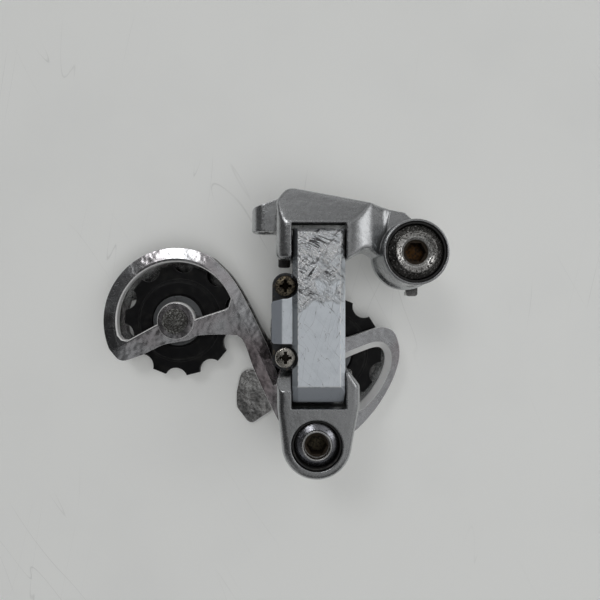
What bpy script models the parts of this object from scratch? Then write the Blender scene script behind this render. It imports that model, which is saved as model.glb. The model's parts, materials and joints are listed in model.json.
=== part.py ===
"""Rear bicycle derailleur of the slant-parallelogram kind, lying on its inner side.

The frame: the origin is the centre of the mounting bolt's threaded end, +Z runs along that bolt,
out of the bike, and +Y runs along the parallelogram towards the bracket.
Sizes are in millimetres, with heights counted from the face that meets the dropout hanger.
Points become metres in the frame where a mesh is made.
"""

import math

import bmesh
import bpy
from mathutils import Matrix, Vector

MM = 0.001
GAP = 0.3  # between a piece and the neighbour that it rests on

# The bolt's thread is as long as this, so the hanger face is this far above the origin.
THREAD_LENGTH = 10.0

# Driving dimensions: axes of the two knuckles and the two pulleys, in plan.
BRACKET_AXIS = (0.0, 0.0)
KNUCKLE_AXIS = (-32.2, -63.2)
GUIDE_AXIS = (-27.4, -36.0)
TENSION_AXIS = (-85.1, -23.6)

# The parallelogram: two links between four pins, all parallel to X.
LINK_LEFT, LINK_RIGHT = -40.2, -22.9
OUTER_PIN_Y, OUTER_PIN_Z = 2.5, 14.5
INNER_PIN_Y, INNER_PIN_Z = 5.0, 1.5
LINK_LENGTH = 48.0
LINK_FACE_Z = 22.0
PIN_RADIUS = 2.0
PIN_CLEARANCE = 0.08
PIN_LEFT, PIN_RIGHT = -45.1, -18.8

# Knuckle bodies.
ARM_LEFT, ARM_RIGHT = -45.7, -17.5
SLOT_LEFT, SLOT_RIGHT = LINK_LEFT - GAP, LINK_RIGHT + GAP
BRACKET_TOP_Z, BRACKET_ARM_Z = 22.0, -2.6
BRACKET_RIM_RADIUS, BRACKET_BASE_RADIUS = 10.8, 12.0
BRACKET_BASE_Z, BRACKET_RIM_Z = 1.9, 21.2
KNUCKLE_TOP_Z, KNUCKLE_BASE_Z = 20.5, -4.5
KNUCKLE_RADIUS = 11.6
STOP_DOWEL_X, STOP_DOWEL_Z, STOP_DOWEL_RADIUS = -43.2, 9.3, 2.1

# The cage turns on the lower knuckle, and its stop pin runs in a curved groove there.
CAGE_TRAVEL = 100.0
STOP_ANGLE, STOP_RADIUS = 200.0, 8.2

# The cage: two plates with the pulleys between them.
OUTER_PLATE_LOW, OUTER_PLATE_HIGH = -8.0, -5.0
INNER_PLATE_LOW, INNER_PLATE_HIGH = -17.6, -16.1
PULLEY_Z = -12.0
RING_RADIUS, WINDOW_RADIUS = 28.0, 22.6
HUB_RADIUS = 7.3

# Pulleys for a half-inch chain.
PULLEY_TEETH = 10
TIP_RADIUS, SEAT_RADIUS, SEAT_CENTRE_RADIUS = 21.9, 4.6, 23.4
PULLEY_BORE = 4.8

# Screws and bolts.
LIMIT_SCREW_X = -42.5
LIMIT_SCREW_YS = {"high_limit_screw": -11.0, "low_limit_screw": -34.7}
LIMIT_SEAT_Z, LIMIT_TIP_Z = 16.2, 7.05
HEX_KEY_RADIUS = 6.0 / math.sqrt(3)

# Cable stop, on the bracket's left side, and cable anchor, on the inner link.
CABLE_X, CABLE_Z = -49.6, 7.6
ANCHOR_Y = -26.6

COLOURS = {
    "satin_alloy": ((0.62, 0.63, 0.64), 0.32, 1.0),
    "polished_alloy": ((0.72, 0.72, 0.73), 0.14, 1.0),
    "plated_steel": ((0.55, 0.55, 0.54), 0.25, 1.0),
    "worn_steel": ((0.36, 0.34, 0.31), 0.45, 1.0),
    "spring_steel": ((0.30, 0.31, 0.33), 0.35, 1.0),
    "black_plastic": ((0.02, 0.02, 0.022), 0.45, 0.0),
    "black_rubber": ((0.015, 0.015, 0.015), 0.7, 0.0),
    "bronze": ((0.62, 0.42, 0.22), 0.4, 1.0),
}


def clear_scene():
    for old in list(bpy.data.objects):
        bpy.data.objects.remove(old, do_unlink=True)


def material(finish):
    """The Principled material of one finish, made once."""
    found = bpy.data.materials.get(finish)
    if found:
        return found
    colour, roughness, metallic = COLOURS[finish]
    made = bpy.data.materials.new(finish)
    made.use_nodes = True
    shader = made.node_tree.nodes["Principled BSDF"]
    shader.inputs["Base Color"].default_value = (*colour, 1.0)
    shader.inputs["Roughness"].default_value = roughness
    shader.inputs["Metallic"].default_value = metallic
    return made


# ---------------------------------------------------------------- outlines


def arc(centre, radius, start, end, steps=12):
    """Points on a circle from one angle to the other, in degrees."""
    angles = [math.radians(start + (end - start) * i / steps) for i in range(steps + 1)]
    return [(centre[0] + radius * math.cos(a), centre[1] + radius * math.sin(a)) for a in angles]


def smooth(points, steps=4):
    """A Catmull-Rom curve through the points, without its last one."""
    padded = [points[0], *points, points[-1]]
    curve = []
    for before, a, b, after in zip(padded, padded[1:], padded[2:], padded[3:]):
        for step in range(steps):
            t = step / steps
            weights = (
                (-t + 2 * t**2 - t**3) / 2,
                (2 - 5 * t**2 + 3 * t**3) / 2,
                (t + 4 * t**2 - 3 * t**3) / 2,
                (-(t**2) + t**3) / 2,
            )
            near = (before, a, b, after)
            curve.append(tuple(sum(w * p[k] for w, p in zip(weights, near)) for k in (0, 1)))
    return curve


def rounded(corners, steps=4):
    """A closed outline from (x, y, radius) corners, each rounded by an arc of its radius."""
    outline = []
    count = len(corners)
    for i, (x, y, radius) in enumerate(corners):
        here = Vector((x, y))
        back = (Vector(corners[i - 1][:2]) - here).normalized()
        onward = (Vector(corners[(i + 1) % count][:2]) - here).normalized()
        if radius <= 0:
            outline.append((x, y))
            continue
        half = back.angle(onward) / 2
        middle = here + (back + onward).normalized() * (radius / math.sin(half))
        first = here + back * (radius / math.tan(half)) - middle
        last = here + onward * (radius / math.tan(half)) - middle
        turn = first.angle_signed(last)
        for step in range(steps + 1):
            point = first.copy()
            point.rotate(Matrix.Rotation(-turn * step / steps, 2))
            outline.append(tuple(middle + point))
    return outline


def regular(centre, radius, sides, start=0.0):
    return arc(centre, radius, start, start + 360 - 360 / sides, sides - 1)


# ---------------------------------------------------------------- solids


def in_frame(x, y, z):
    """A point with its height from the hanger face, as metres from the origin."""
    return Vector((x, y, z + THREAD_LENGTH)) * MM


def place(a, b, along, axis):
    """The point at (a, b) in the plane across an axis, at a distance along that axis."""
    point = {"Z": (a, b, along), "X": (along, a, b), "Y": (b, along, a)}[axis]
    return in_frame(*point)


def finish_mesh(name, mesh, finish):
    shape = bpy.data.objects.new(name, mesh)
    bpy.context.scene.collection.objects.link(shape)
    mesh.materials.append(material(finish))
    return shape


def from_bmesh(name, made, finish):
    bmesh.ops.recalc_face_normals(made, faces=made.faces)
    mesh = bpy.data.meshes.new(name)
    made.to_mesh(mesh)
    made.free()
    mesh.shade_smooth()
    mesh.set_sharp_from_angle(angle=math.radians(35))
    return finish_mesh(name, mesh, finish)


def prism(name, outline, low, high, finish="satin_alloy", axis="Z"):
    """An outline extruded along an axis from low to high."""
    made = bmesh.new()
    ring = [made.verts.new(place(a, b, low, axis)) for a, b in outline]
    base = made.faces.new(ring)
    grown = bmesh.ops.extrude_face_region(made, geom=[base])
    top = [item for item in grown["geom"] if isinstance(item, bmesh.types.BMVert)]
    bmesh.ops.translate(made, verts=top, vec=place(0, 0, high, axis) - place(0, 0, low, axis))
    return from_bmesh(name, made, finish)


def turned(name, profile, centre, finish="satin_alloy", axis="Z", segments=32):
    """A (radius, height) profile turned about an axis: a closed loop, or one with both ends on it."""
    made = bmesh.new()
    rings = []
    for radius, height in profile:
        if radius == 0:
            rings.append([made.verts.new(place(*centre, height, axis))] * segments)
            continue
        around = regular(centre, radius, segments)
        rings.append([made.verts.new(place(a, b, height, axis)) for a, b in around])
    closed = profile[0][0] > 0
    pairs = list(zip(rings, rings[1:] + (rings[:1] if closed else [])))
    for lower, upper in pairs:
        for i in range(segments):
            j = (i + 1) % segments
            corners = dict.fromkeys((lower[i], lower[j], upper[j], upper[i]))
            made.faces.new(corners)
    return from_bmesh(name, made, finish)


def rod(name, centre, radius, low, high, finish="plated_steel", axis="Z", segments=20):
    """A plain cylinder with small chamfers at its ends."""
    edge = min(0.4, radius / 4)
    profile = [
        (0, low),
        (radius - edge, low),
        (radius, low + edge),
        (radius, high - edge),
        (radius - edge, high),
        (0, high),
    ]
    return turned(name, profile, centre, finish, axis, segments)


def cutter_rod(centre, radius, low, high, axis="Z", segments=28):
    return prism("cutter", regular(centre, radius, segments), low, high, axis=axis)


def pin_bore(centre):
    """Room for a parallelogram pin: open on the left, blind on the right."""
    return cutter_rod(centre, PIN_RADIUS + PIN_CLEARANCE, -60, PIN_RIGHT + GAP, "X", 20)


def combine(target, others, operation):
    """Adds one Boolean per helper, and keeps the helper as a wire guide."""
    for other in others:
        modifier = target.modifiers.new(operation.lower(), "BOOLEAN")
        modifier.operation = operation
        modifier.object = other
        modifier.solver = "EXACT"
        other.hide_render = True
        other.display_type = "WIRE"
    return target


def cut(target, *cutters):
    return combine(target, cutters, "DIFFERENCE")


def join(target, *others):
    return combine(target, others, "UNION")


def keep_inside(target, *others):
    return combine(target, others, "INTERSECT")


def coil(name, centre, axis, mean_radius, wire_radius, low, high, turns, legs):
    """A closed-end torsion spring: a helix with two tangent legs of the given lengths."""
    sides, steps = 5, int(11 * turns)
    path = []
    for step in range(steps + 1):
        angle = 2 * math.pi * turns * step / steps
        height = low + (high - low) * step / steps
        path.append(Vector((mean_radius * math.cos(angle), mean_radius * math.sin(angle), height)))
    first = (path[0] - path[1]).normalized()
    last = (path[-1] - path[-2]).normalized()
    path.insert(0, path[0] + first * legs[0])
    path.append(path[-1] + last * legs[1])
    made = bmesh.new()
    rings = []
    for i, point in enumerate(path):
        ahead = path[min(i + 1, len(path) - 1)] - path[max(i - 1, 0)]
        across = ahead.cross(Vector((0, 0, 1))).normalized()
        up = across.cross(ahead).normalized()
        ring = []
        for side in range(sides):
            turn = 2 * math.pi * side / sides
            spot = point + (across * math.cos(turn) + up * math.sin(turn)) * wire_radius
            ring.append(made.verts.new(place(centre[0] + spot.x, centre[1] + spot.y, spot.z, axis)))
        rings.append(ring)
    for lower, upper in zip(rings, rings[1:]):
        for i in range(sides):
            j = (i + 1) % sides
            made.faces.new((lower[i], lower[j], upper[j], upper[i]))
    made.faces.new(rings[0])
    made.faces.new(rings[-1])
    return from_bmesh(name, made, "spring_steel")


def collar(name, centre, inner, outer, low, high, finish, segments=28):
    """A plain ring: a bush, a washer, a seal or a dust cap."""
    profile = [(inner, low), (outer, low), (outer, high), (inner, high)]
    return turned(name, profile, centre, finish, segments=segments)


# ---------------------------------------------------------------- hanger mount


def mounting_bolt():
    """Axle, head and thread in one: it screws into the dropout hanger."""
    profile = [
        (0, -THREAD_LENGTH),
        (4.2, -THREAD_LENGTH),
        (4.9, -THREAD_LENGTH + 0.8),
        (4.9, -0.4),
        (5.0, -0.4),
        (5.0, 18.4),
        (9.0, 18.4),
        (9.0, 20.3),
        (6.6, 21.7),
        (4.7, 21.0),
        (3.8, 19.9),
        (0, 19.9),
    ]
    bolt = turned("mounting_bolt", profile, BRACKET_AXIS, "worn_steel")
    socket = prism("cutter", regular(BRACKET_AXIS, HEX_KEY_RADIUS, 6), 15.2, 22.5)
    return cut(bolt, socket)


def hanger_stop_plate():
    """Washer under the bracket with a claw that catches the hanger's stop."""
    plate = collar("hanger_stop_plate", BRACKET_AXIS, 5.4, 11.4, 0.0, 1.5, "plated_steel")
    arm = prism("helper", rounded([(1.2, -9, 0), (1.2, -14.2, 1), (5.4, -14.2, 1), (5.4, -9, 0)]), 0.0, 1.5)
    claw = prism("helper", [(1.5, -13.9), (5.1, -13.9), (5.1, -12.5), (1.5, -12.5)], -3.0, 1.0)
    return join(plate, arm, claw)


# ---------------------------------------------------------------- bracket


def cable_stop():
    """Tapered lug on the bracket's left, round at its outer side, that the adjuster screws into."""
    top = [(-44.0, 8.0, 0), (-44.0, 19.5, 0), (-50.5, 17.3, 0.6)]
    side = rounded([*top, (-54.6, 16.2, 2.2), (-54.6, 8.0, 0.8)])
    lug = prism("helper", side, CABLE_Z - 5.0, CABLE_Z + 5.0)
    centre = (CABLE_Z, CABLE_X)
    root = [(CABLE_Z - 5, CABLE_X), (CABLE_Z + 5, CABLE_X), (CABLE_Z + 5, -40.0), (CABLE_Z - 5, -40.0)]
    section = rod("helper", centre, 5.0, 2.0, 30.0, axis="Y", segments=24)
    return keep_inside(lug, join(section, prism("helper", root, 2.4, 29.6, axis="Y")))


def barrel():
    """The bracket's round part, solid, with a flange at its foot."""
    profile = [
        (0, BRACKET_BASE_Z),
        (BRACKET_BASE_RADIUS, BRACKET_BASE_Z),
        (BRACKET_BASE_RADIUS, 6.0),
        (BRACKET_RIM_RADIUS + 0.4, 8.0),
        (BRACKET_RIM_RADIUS, BRACKET_RIM_Z - 0.8),
        (BRACKET_RIM_RADIUS - 0.5, BRACKET_RIM_Z),
        (0, BRACKET_RIM_Z),
    ]
    return turned("helper", profile, BRACKET_AXIS)


def bracket_body():
    """The upper knuckle: a barrel round the mounting bolt, a neck, and two arms for the links."""
    outline = rounded(
        [
            (ARM_LEFT, -2.1, 1.8),
            (SLOT_LEFT, -2.1, 0.6),
            (SLOT_LEFT, 10.4, 0),
            (SLOT_RIGHT, 10.4, 0),
            (SLOT_RIGHT, -2.8, 0.6),
            (-15.6, 1.7, 3.0),
            (-10.5, -2.0, 1.0),
            (-8.9, 6.5, 0),
            (-6.9, 15.0, 1.2),
            (-42.0, 22.2, 4.0),
            (ARM_LEFT, 17.0, 5.0),
        ]
    )
    body = prism("bracket_body", outline, BRACKET_ARM_Z, BRACKET_TOP_Z, "satin_alloy")
    below = [(-20.0, -8), (20, -8), (20, 30), (-20, 30)]
    fall = smooth([(22.4, -24.0), (21.5, -19.0), (19.6, -14.5), (17.0, -11.0), (15.6, -8.0), (15.0, 2.0)])
    cut(body, prism("cutter", [*fall, (15.0, 2.0), (30.0, 2.0), (30.0, -24.0)], -9.0, 20.0, axis="Y"))
    cut(body, prism("cutter", below, BRACKET_ARM_Z - 1, 3.0))
    left, right = SLOT_LEFT - 1, SLOT_RIGHT + 1
    lip = prism("helper", [(left, 9.4), (right, 9.4), (right, 12), (left, 12)], 16, BRACKET_TOP_Z)
    web = prism("helper", [(-12, 4), (0, 0), (0, 11.5), (-2.5, 13.9), (-10, 15.6)], 4.0, 15.0)
    join(body, lip, barrel(), web, cable_stop())
    above = [(9.0, 22.2), (30.0, 14.4), (30.0, 30.0), (9.0, 30.0)]
    cut(body, prism("cutter", above, -60, 20, axis="X"))
    bore = [(0, 0), (6.6, 0), (6.6, 5.2), (8.7, 5.2), (8.7, 18.0), (10.05, 18.0), (10.05, 24), (0, 24)]
    cut(body, turned("cutter", bore, BRACKET_AXIS))
    cut(body, cutter_rod((CABLE_Z, CABLE_X), 2.9, 0.0, 30.0, axis="Y", segments=20))
    for centre in ((OUTER_PIN_Y, OUTER_PIN_Z), (INNER_PIN_Y, INNER_PIN_Z)):
        cut(body, pin_bore(centre))
    dowel = (STOP_DOWEL_Z, STOP_DOWEL_X)
    return cut(body, cutter_rod(dowel, STOP_DOWEL_RADIUS + 0.15, -10, 4.3, axis="Y", segments=16))


def bracket_pieces():
    bracket_body()
    coil("bracket_spring", BRACKET_AXIS, "Z", 7.0, 0.8, 6.3, 17.0, 5, (0, 0))
    collar("bracket_bushing", BRACKET_AXIS, 5.15, 6.4, 1.8, 5.0, "bronze")
    collar("bracket_seal_ring", BRACKET_AXIS, 9.2, 9.85, 18.3, 20.8, "black_rubber")
    rod("upper_outer_pin", (OUTER_PIN_Y, OUTER_PIN_Z), PIN_RADIUS, PIN_LEFT, PIN_RIGHT, axis="X")
    rod("upper_inner_pin", (INNER_PIN_Y, INNER_PIN_Z), PIN_RADIUS, PIN_LEFT, PIN_RIGHT, axis="X")
    dowel = (STOP_DOWEL_Z, STOP_DOWEL_X)
    rod("limit_stop_dowel", dowel, STOP_DOWEL_RADIUS, -4.3, 4.0, "black_rubber", "Y", 16)


def cable_adjuster_barrel():
    """Hollow screw in the cable stop: the housing sits in its top and the cable leaves below."""
    profile = [(1.0, 8.3), (2.7, 8.3), (2.7, 15.4), (2.5, 15.8), (1.9, 15.8), (1.9, 10.0), (1.0, 10.0)]
    return turned("cable_adjuster_barrel", profile, (CABLE_Z, CABLE_X), "plated_steel", "Y", 20)


# ---------------------------------------------------------------- links


def outer_link():
    """Deep channel with its open side down, and a flange on its left for the two limit screws."""
    upper_pin = (OUTER_PIN_Y, OUTER_PIN_Z)
    lower_pin = (OUTER_PIN_Y - LINK_LENGTH, OUTER_PIN_Z)
    side = [
        (6.4, LINK_FACE_Z),
        (-43.5, LINK_FACE_Z),
        (-49.7, 16.6),
        *arc(lower_pin, 4.6, 160, 270, 6),
        *arc(upper_pin, 5.2, 270, 360, 6),
        (7.7, 20.4),
    ]
    link = prism("outer_link", side, LINK_LEFT, LINK_RIGHT, "satin_alloy", "X")
    across = [
        (5.0, LINK_LEFT - 0.01),
        (5.0, LINK_RIGHT + 0.01),
        (19.9, LINK_RIGHT + 0.01),
        (LINK_FACE_Z + 0.1, LINK_RIGHT - 1.8),
        (LINK_FACE_Z + 0.1, LINK_LEFT + 1.9),
        (19.7, LINK_LEFT - 0.01),
    ]
    keep_inside(link, prism("helper", across, -60, 20, axis="Y"))
    inside = [(5.2, 5.0), (5.2, 19.6), (-42.8, 19.6), (-46.8, 16.0), (-46.8, 5.0)]
    cut(link, prism("cutter", inside, LINK_LEFT + 3.2, LINK_RIGHT - 2.0, axis="X"))
    high_y, low_y = LIMIT_SCREW_YS.values()
    flange = [
        *arc((LIMIT_SCREW_X, high_y), 4.5, 60, 180, 8),
        *arc((LIMIT_SCREW_X, low_y), 4.5, 180, 300, 8),
        (-39.4, low_y - 2),
        (-39.4, high_y + 2),
    ]
    block = rounded([(-47.1, -30.0, 1.0), (-39.0, -30.0, 0), (-39.0, -14.2, 0), (-47.1, -16.2, 1.0)])
    join(link, prism("helper", flange, 11.0, LIMIT_SEAT_Z), prism("helper", block, 11.0, 20.0))
    heel = [(-12.0, 10.0), (-5.0, 15.6), (-5.0, 10.0)]
    cut(link, prism("cutter", heel, -50.0, LINK_LEFT - 0.1, axis="X"))
    for y in LIMIT_SCREW_YS.values():
        cut(link, cutter_rod((LIMIT_SCREW_X, y), 4.2, LIMIT_SEAT_Z, 24.0))
        cut(link, cutter_rod((LIMIT_SCREW_X, y), 2.15, 8.0, 24.0, segments=16))
    for centre in (upper_pin, lower_pin):
        cut(link, pin_bore(centre))
    return link


def limit_screw(name, y):
    """Cross-head screw, sunk in the outer link's flange."""
    centre = (LIMIT_SCREW_X, y)
    low = LIMIT_SEAT_Z + 0.2
    tip = [(0, LIMIT_TIP_Z), (1.4, LIMIT_TIP_Z), (1.95, LIMIT_TIP_Z + 0.7)]
    profile = [*tip, (1.95, low), (3.5, low), (3.5, low + 1.7), (3.0, low + 2.2), (0, low + 2.2)]
    screw = turned(name, profile, centre, "worn_steel", segments=20)
    for long, wide in ((2.1, 0.5), (0.5, 2.1)):
        x, corners = LIMIT_SCREW_X, ((-1, -1), (1, -1), (1, 1), (-1, 1))
        slot = [(x + long * a, y + wide * b) for a, b in corners]
        cut(screw, prism("cutter", slot, low + 0.7 + wide / 50, low + 3))
    return screw


def inner_link():
    """Shallow channel with its open side up, and a boss on its left for the cable anchor."""
    lower_pin_y = INNER_PIN_Y - LINK_LENGTH
    side = [
        *arc((lower_pin_y, INNER_PIN_Z), 3.3, 90, 270, 10),
        *arc((INNER_PIN_Y, INNER_PIN_Z), 3.3, -90, 90, 10),
    ]
    link = prism("inner_link", side, LINK_LEFT + GAP, LINK_RIGHT - GAP, "satin_alloy", "X")
    left, right = LINK_LEFT + GAP + 2.4, LINK_RIGHT - GAP - 2.4
    cut(link, prism("cutter", [(20, -0.4), (20, 9), (-60, 9), (-60, -0.4)], left, right, axis="X"))
    cut(link, prism("cutter", [(20, -9), (20, 9), (-0.5, 9), (-0.5, -9)], left, right, axis="X"))
    cut(link, prism("cutter", [(-38, -9), (-38, 9), (-60, 9), (-60, -9)], left, right, axis="X"))
    join(link, rod("helper", (ANCHOR_Y, INNER_PIN_Z), 4.2, -43.7, -38.0, axis="X"))
    ear = [(-13.2, -1.0), (-8.8, -1.0), (-8.8, LIMIT_TIP_Z - 0.35), (-13.2, LIMIT_TIP_Z - 0.35)]
    join(link, prism("helper", ear, -44.4, -38.0, axis="X"))
    cut(link, cutter_rod((ANCHOR_Y, INNER_PIN_Z), 2.6, -50.0, -36.0, axis="X", segments=20))
    for y in (INNER_PIN_Y, lower_pin_y):
        cut(link, pin_bore((y, INNER_PIN_Z)))
    return link


def cable_anchor():
    """Hex bolt and washer that pinch the cable against the inner link's boss."""
    centre = (ANCHOR_Y, INNER_PIN_Z)
    profile = [(2.5, -44.9), (4.4, -44.9), (4.4, -44.0), (2.5, -44.0)]
    turned("cable_anchor_washer", profile, centre, "plated_steel", "X", 28)
    bolt = prism("cable_anchor_bolt", regular(centre, 4.6, 6, 30), -48.2, -45.2, "worn_steel", "X")
    return join(bolt, cutter_rod(centre, 2.3, -46.5, -37.8, axis="X", segments=20))


def return_spring():
    """Torsion spring round the upper inner pin: it pushes the parallelogram outwards."""
    coil("return_spring", (INNER_PIN_Y, INNER_PIN_Z), "X", 2.95, 0.5, -36.4, -26.8, 6, (4, 4))


# ---------------------------------------------------------------- knuckle


def knuckle_body():
    """The lower knuckle: a barrel round the cage axle and two arms for the links."""
    arms = rounded(
        [
            (-45.3, -40.6, 1.6),
            (-39.6, -40.6, 0),
            (-30.0, -39.0, 0),
            (-21.6, -39.0, 1.0),
            (-18.0, -43.6, 1.5),
            (-18.0, -50.0, 6.0),
            (-20.6, -63.2, 0),
            (-45.3, -50.0, 0),
        ]
    )
    outline = [*arms[:-2], *arc(KNUCKLE_AXIS, KNUCKLE_RADIUS, 0, -180, 20), (-45.3, -50.0)]
    body = prism("knuckle_body", outline, KNUCKLE_BASE_Z, KNUCKLE_TOP_Z, "satin_alloy")
    edges = body.modifiers.new("soft edges", "BEVEL")
    edges.width = 1.6 * MM
    edges.segments = 3
    edges.limit_method = "ANGLE"
    edges.angle_limit = math.radians(70)
    pocket = [(SLOT_LEFT, -51.2), (SLOT_RIGHT, -51.2), (SLOT_RIGHT, -30), (SLOT_LEFT, -30)]
    cut(body, prism("cutter", pocket, KNUCKLE_BASE_Z - 1, KNUCKLE_TOP_Z + 1))
    bore = [(0, -10), (4.8, -10), (4.8, -0.6), (7.0, -0.6), (7.0, 15.7), (8.3, 15.7), (8.3, 24), (0, 24)]
    cut(body, turned("cutter", bore, KNUCKLE_AXIS))
    first, last = STOP_ANGLE - 9.5, STOP_ANGLE + CAGE_TRAVEL + 9.5
    inner, outer = STOP_RADIUS - 1.6, STOP_RADIUS + 1.6
    groove = arc(KNUCKLE_AXIS, inner, first, last, 16) + arc(KNUCKLE_AXIS, outer, last, first, 16)
    cut(body, prism("cutter", groove, KNUCKLE_BASE_Z - 1, -2.0))
    under_arms = [(-50, -46.5), (-10, -46.5), (-10, -30), (-50, -30)]
    cut(body, prism("cutter", under_arms, KNUCKLE_BASE_Z - 1, -2.2))
    arm_slope = [(-46.0, 21.0), (-40.0, 15.5), (-38.0, 15.5), (-38.0, 21.0)]
    cut(body, prism("cutter", arm_slope, -50, SLOT_LEFT + 1, axis="X"))
    for pin_y, pin_z in ((OUTER_PIN_Y, OUTER_PIN_Z), (INNER_PIN_Y, INNER_PIN_Z)):
        cut(body, pin_bore((pin_y - LINK_LENGTH, pin_z)))
    return body


def knuckle_pieces():
    knuckle_body()
    coil("knuckle_spring", KNUCKLE_AXIS, "Z", 5.6, 0.8, 0.6, 14.6, 6, (0, 0))
    collar("knuckle_seal_ring", KNUCKLE_AXIS, 7.6, 8.15, 16.7, 19.7, "black_rubber")
    lower_outer_y, lower_inner_y = OUTER_PIN_Y - LINK_LENGTH, INNER_PIN_Y - LINK_LENGTH
    rod("lower_outer_pin", (lower_outer_y, OUTER_PIN_Z), PIN_RADIUS, PIN_LEFT, PIN_RIGHT, axis="X")
    rod("lower_inner_pin", (lower_inner_y, INNER_PIN_Z), PIN_RADIUS, PIN_LEFT, PIN_RIGHT, axis="X")


# ---------------------------------------------------------------- cage


def window_of(ring_centre, cover=0.0, steps=20):
    """The D-shaped window above a pulley's spokes, which a plate may cover more of at the top."""
    x, y = ring_centre
    return [
        *arc(ring_centre, WINDOW_RADIUS, 188, 160, 4),
        *arc(ring_centre, WINDOW_RADIUS - cover, 152, 22, steps),
        (x + 20.0 - cover, y + 5.2),
        (x + 18.9 - cover, y + 4.5),
        *arc(ring_centre, HUB_RADIUS, 6, 190, 10),
        (x - 18.4, y - 7.4),
        (x - 20.6, y - 7.0),
        (x - 22.0, y - 5.4),
    ]


def tension_side():
    """The plates' outline from the spokes' lower edge, over the ring, to the arm's outer edge."""
    x, y = TENSION_AXIS
    along_spokes = [(23.3, -5.6), (16.0, -5.3), (8.2, -5.7), (4.6, -7.4)]
    along_spokes += [(0.0, -8.3), (-5.5, -9.4), (-13.2, -13.0), (-19.0, -15.1)]
    along_arm = [(15.4, 22.6), (19.6, 18.4), (23.7, 12.6), (27.8, 5.0), (32.0, -3.6)]
    spokes = smooth([(x + a, y + b) for a, b in along_spokes], 3)
    tip = arc((x - 20.4, y - 11.9), 3.4, 295, 215, 5)
    ring = arc(TENSION_AXIS, RING_RADIUS, 203, 62, 22)
    return [*spokes, *tip, *ring, *smooth([(x + a, y + b) for a, b in along_arm], 3)]


def outer_plate_outline():
    """Ring, arm and boss of the outer plate, with the loop that reaches round the guide pulley."""
    above_loop = [(-46.6, -44.0), (-41.5, -48.5), (-35.5, -46.0), (-34.4, -38.0), (-32.2, -32.2)]
    above_loop += [(-27.0, -30.4), (-19.7, -29.9), (-11.4, -27.2), (-6.4, -25.9), (-1.8, -27.6)]
    below_loop = [(0.2, -33.0), (0.1, -39.0), (-2.6, -46.9), (-7.6, -55.6), (-14.0, -63.2), (-20.6, -69.0)]
    arm = [(-46.4, -61.0), (-50.6, -52.6), (-55.2, -42.6), (-58.6, -33.0), (-60.4, -30.0)]
    boss = arc(KNUCKLE_AXIS, 11.0, -35, -150, 10)
    loop = smooth(above_loop + below_loop, 3)
    return [*tension_side(), (-49.7, -34.4), *loop, *boss, *smooth(arm, 2)]


def inner_plate_outline():
    """The inner plate follows the ring, carries the guide pulley, and ends in a chain paddle."""
    above_guide = [(-50.6, -31.0), (-46.0, -34.0), (-38.0, -32.0), (-30.0, -29.5), (-20.0, -31.5)]
    above_guide += [(-11.0, -29.4), (-5.0, -29.0), (-2.2, -33.5), (-2.4, -40.0), (-5.0, -47.0)]
    below_guide = [(-10.0, -55.0), (-17.0, -60.0), (-28.0, -57.0), (-38.0, -54.5), (-45.0, -57.5)]
    paddle = [(-49.0, -60.2, 1.0), (-57.9, -66.2, 2.5), (-63.4, -59.0, 3.5), (-63.4, -53.0, 2.0)]
    guide = smooth(above_guide + below_guide, 3)
    return [*tension_side(), *guide, *rounded([*paddle, (-59.4, -34.4, 4.0)]), (-60.3, -30.6)]


def loop_window():
    """The opening beside the guide pulley, in the outer plate's loop."""
    top = [(-22.0, -39.0), (-16.3, -36.4), (-9.4, -33.9), (-6.4, -34.2), (-5.0, -37.0), (-5.6, -41.7)]
    bottom = [(-8.3, -47.5), (-12.2, -52.8), (-16.5, -56.0), (-21.5, -53.0), (-22.6, -46.0), (-22.0, -39.0)]
    return smooth(top + bottom, 3)


def cage_outer_plate():
    """The alloy plate under the knuckle, with a raised seat for each pulley bolt."""
    low, high = OUTER_PLATE_LOW, OUTER_PLATE_HIGH
    plate = prism("cage_outer_plate", outer_plate_outline(), low, high, "polished_alloy")
    for centre in (TENSION_AXIS, GUIDE_AXIS):
        join(plate, cutter_rod(centre, HUB_RADIUS - 0.4, low + 0.5, high + 0.5))
        cut(plate, cutter_rod(centre, 2.7, -20, 0, segments=24))
    cut(plate, prism("cutter", window_of(TENSION_AXIS), -20, 0))
    cut(plate, prism("cutter", loop_window(), -20, 0))
    cut(plate, cutter_rod(KNUCKLE_AXIS, 4.35, -20, 0))
    stop_x, stop_y = arc(KNUCKLE_AXIS, STOP_RADIUS, STOP_ANGLE, STOP_ANGLE, 1)[0]
    cut(plate, cutter_rod((stop_x, stop_y), 1.35, -20, 0, segments=16))
    rod("cage_stop_pin", (stop_x, stop_y), 1.2, OUTER_PLATE_LOW, -2.3, segments=16)
    return plate


def cage_inner_plate():
    """The pressed steel plate on the wheel's side, which the pulley bolts screw into."""
    low, high = INNER_PLATE_LOW, INNER_PLATE_HIGH
    plate = prism("cage_inner_plate", inner_plate_outline(), low, high, "plated_steel")
    cut(plate, prism("cutter", window_of(TENSION_AXIS, 4.0), -20, 0))
    for centre in (TENSION_AXIS, GUIDE_AXIS):
        cut(plate, cutter_rod(centre, 2.65, -20, 0, segments=24))
    return plate


def cage_axle_bolt():
    """Axle that the cage turns on: its dished head closes the knuckle."""
    shank = [(0, -7.8), (4.1, -7.8), (4.1, 16.0), (7.4, 16.0)]
    head = [(7.4, 18.4), (4.9, 20.0), (4.3, 20.3), (3.9, 19.9), (3.7, 18.8), (0, 18.8)]
    bolt = turned("cage_axle_bolt", shank + head, KNUCKLE_AXIS, "worn_steel")
    return cut(bolt, prism("cutter", regular(KNUCKLE_AXIS, HEX_KEY_RADIUS, 6), 13.0, 22.0))


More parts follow.
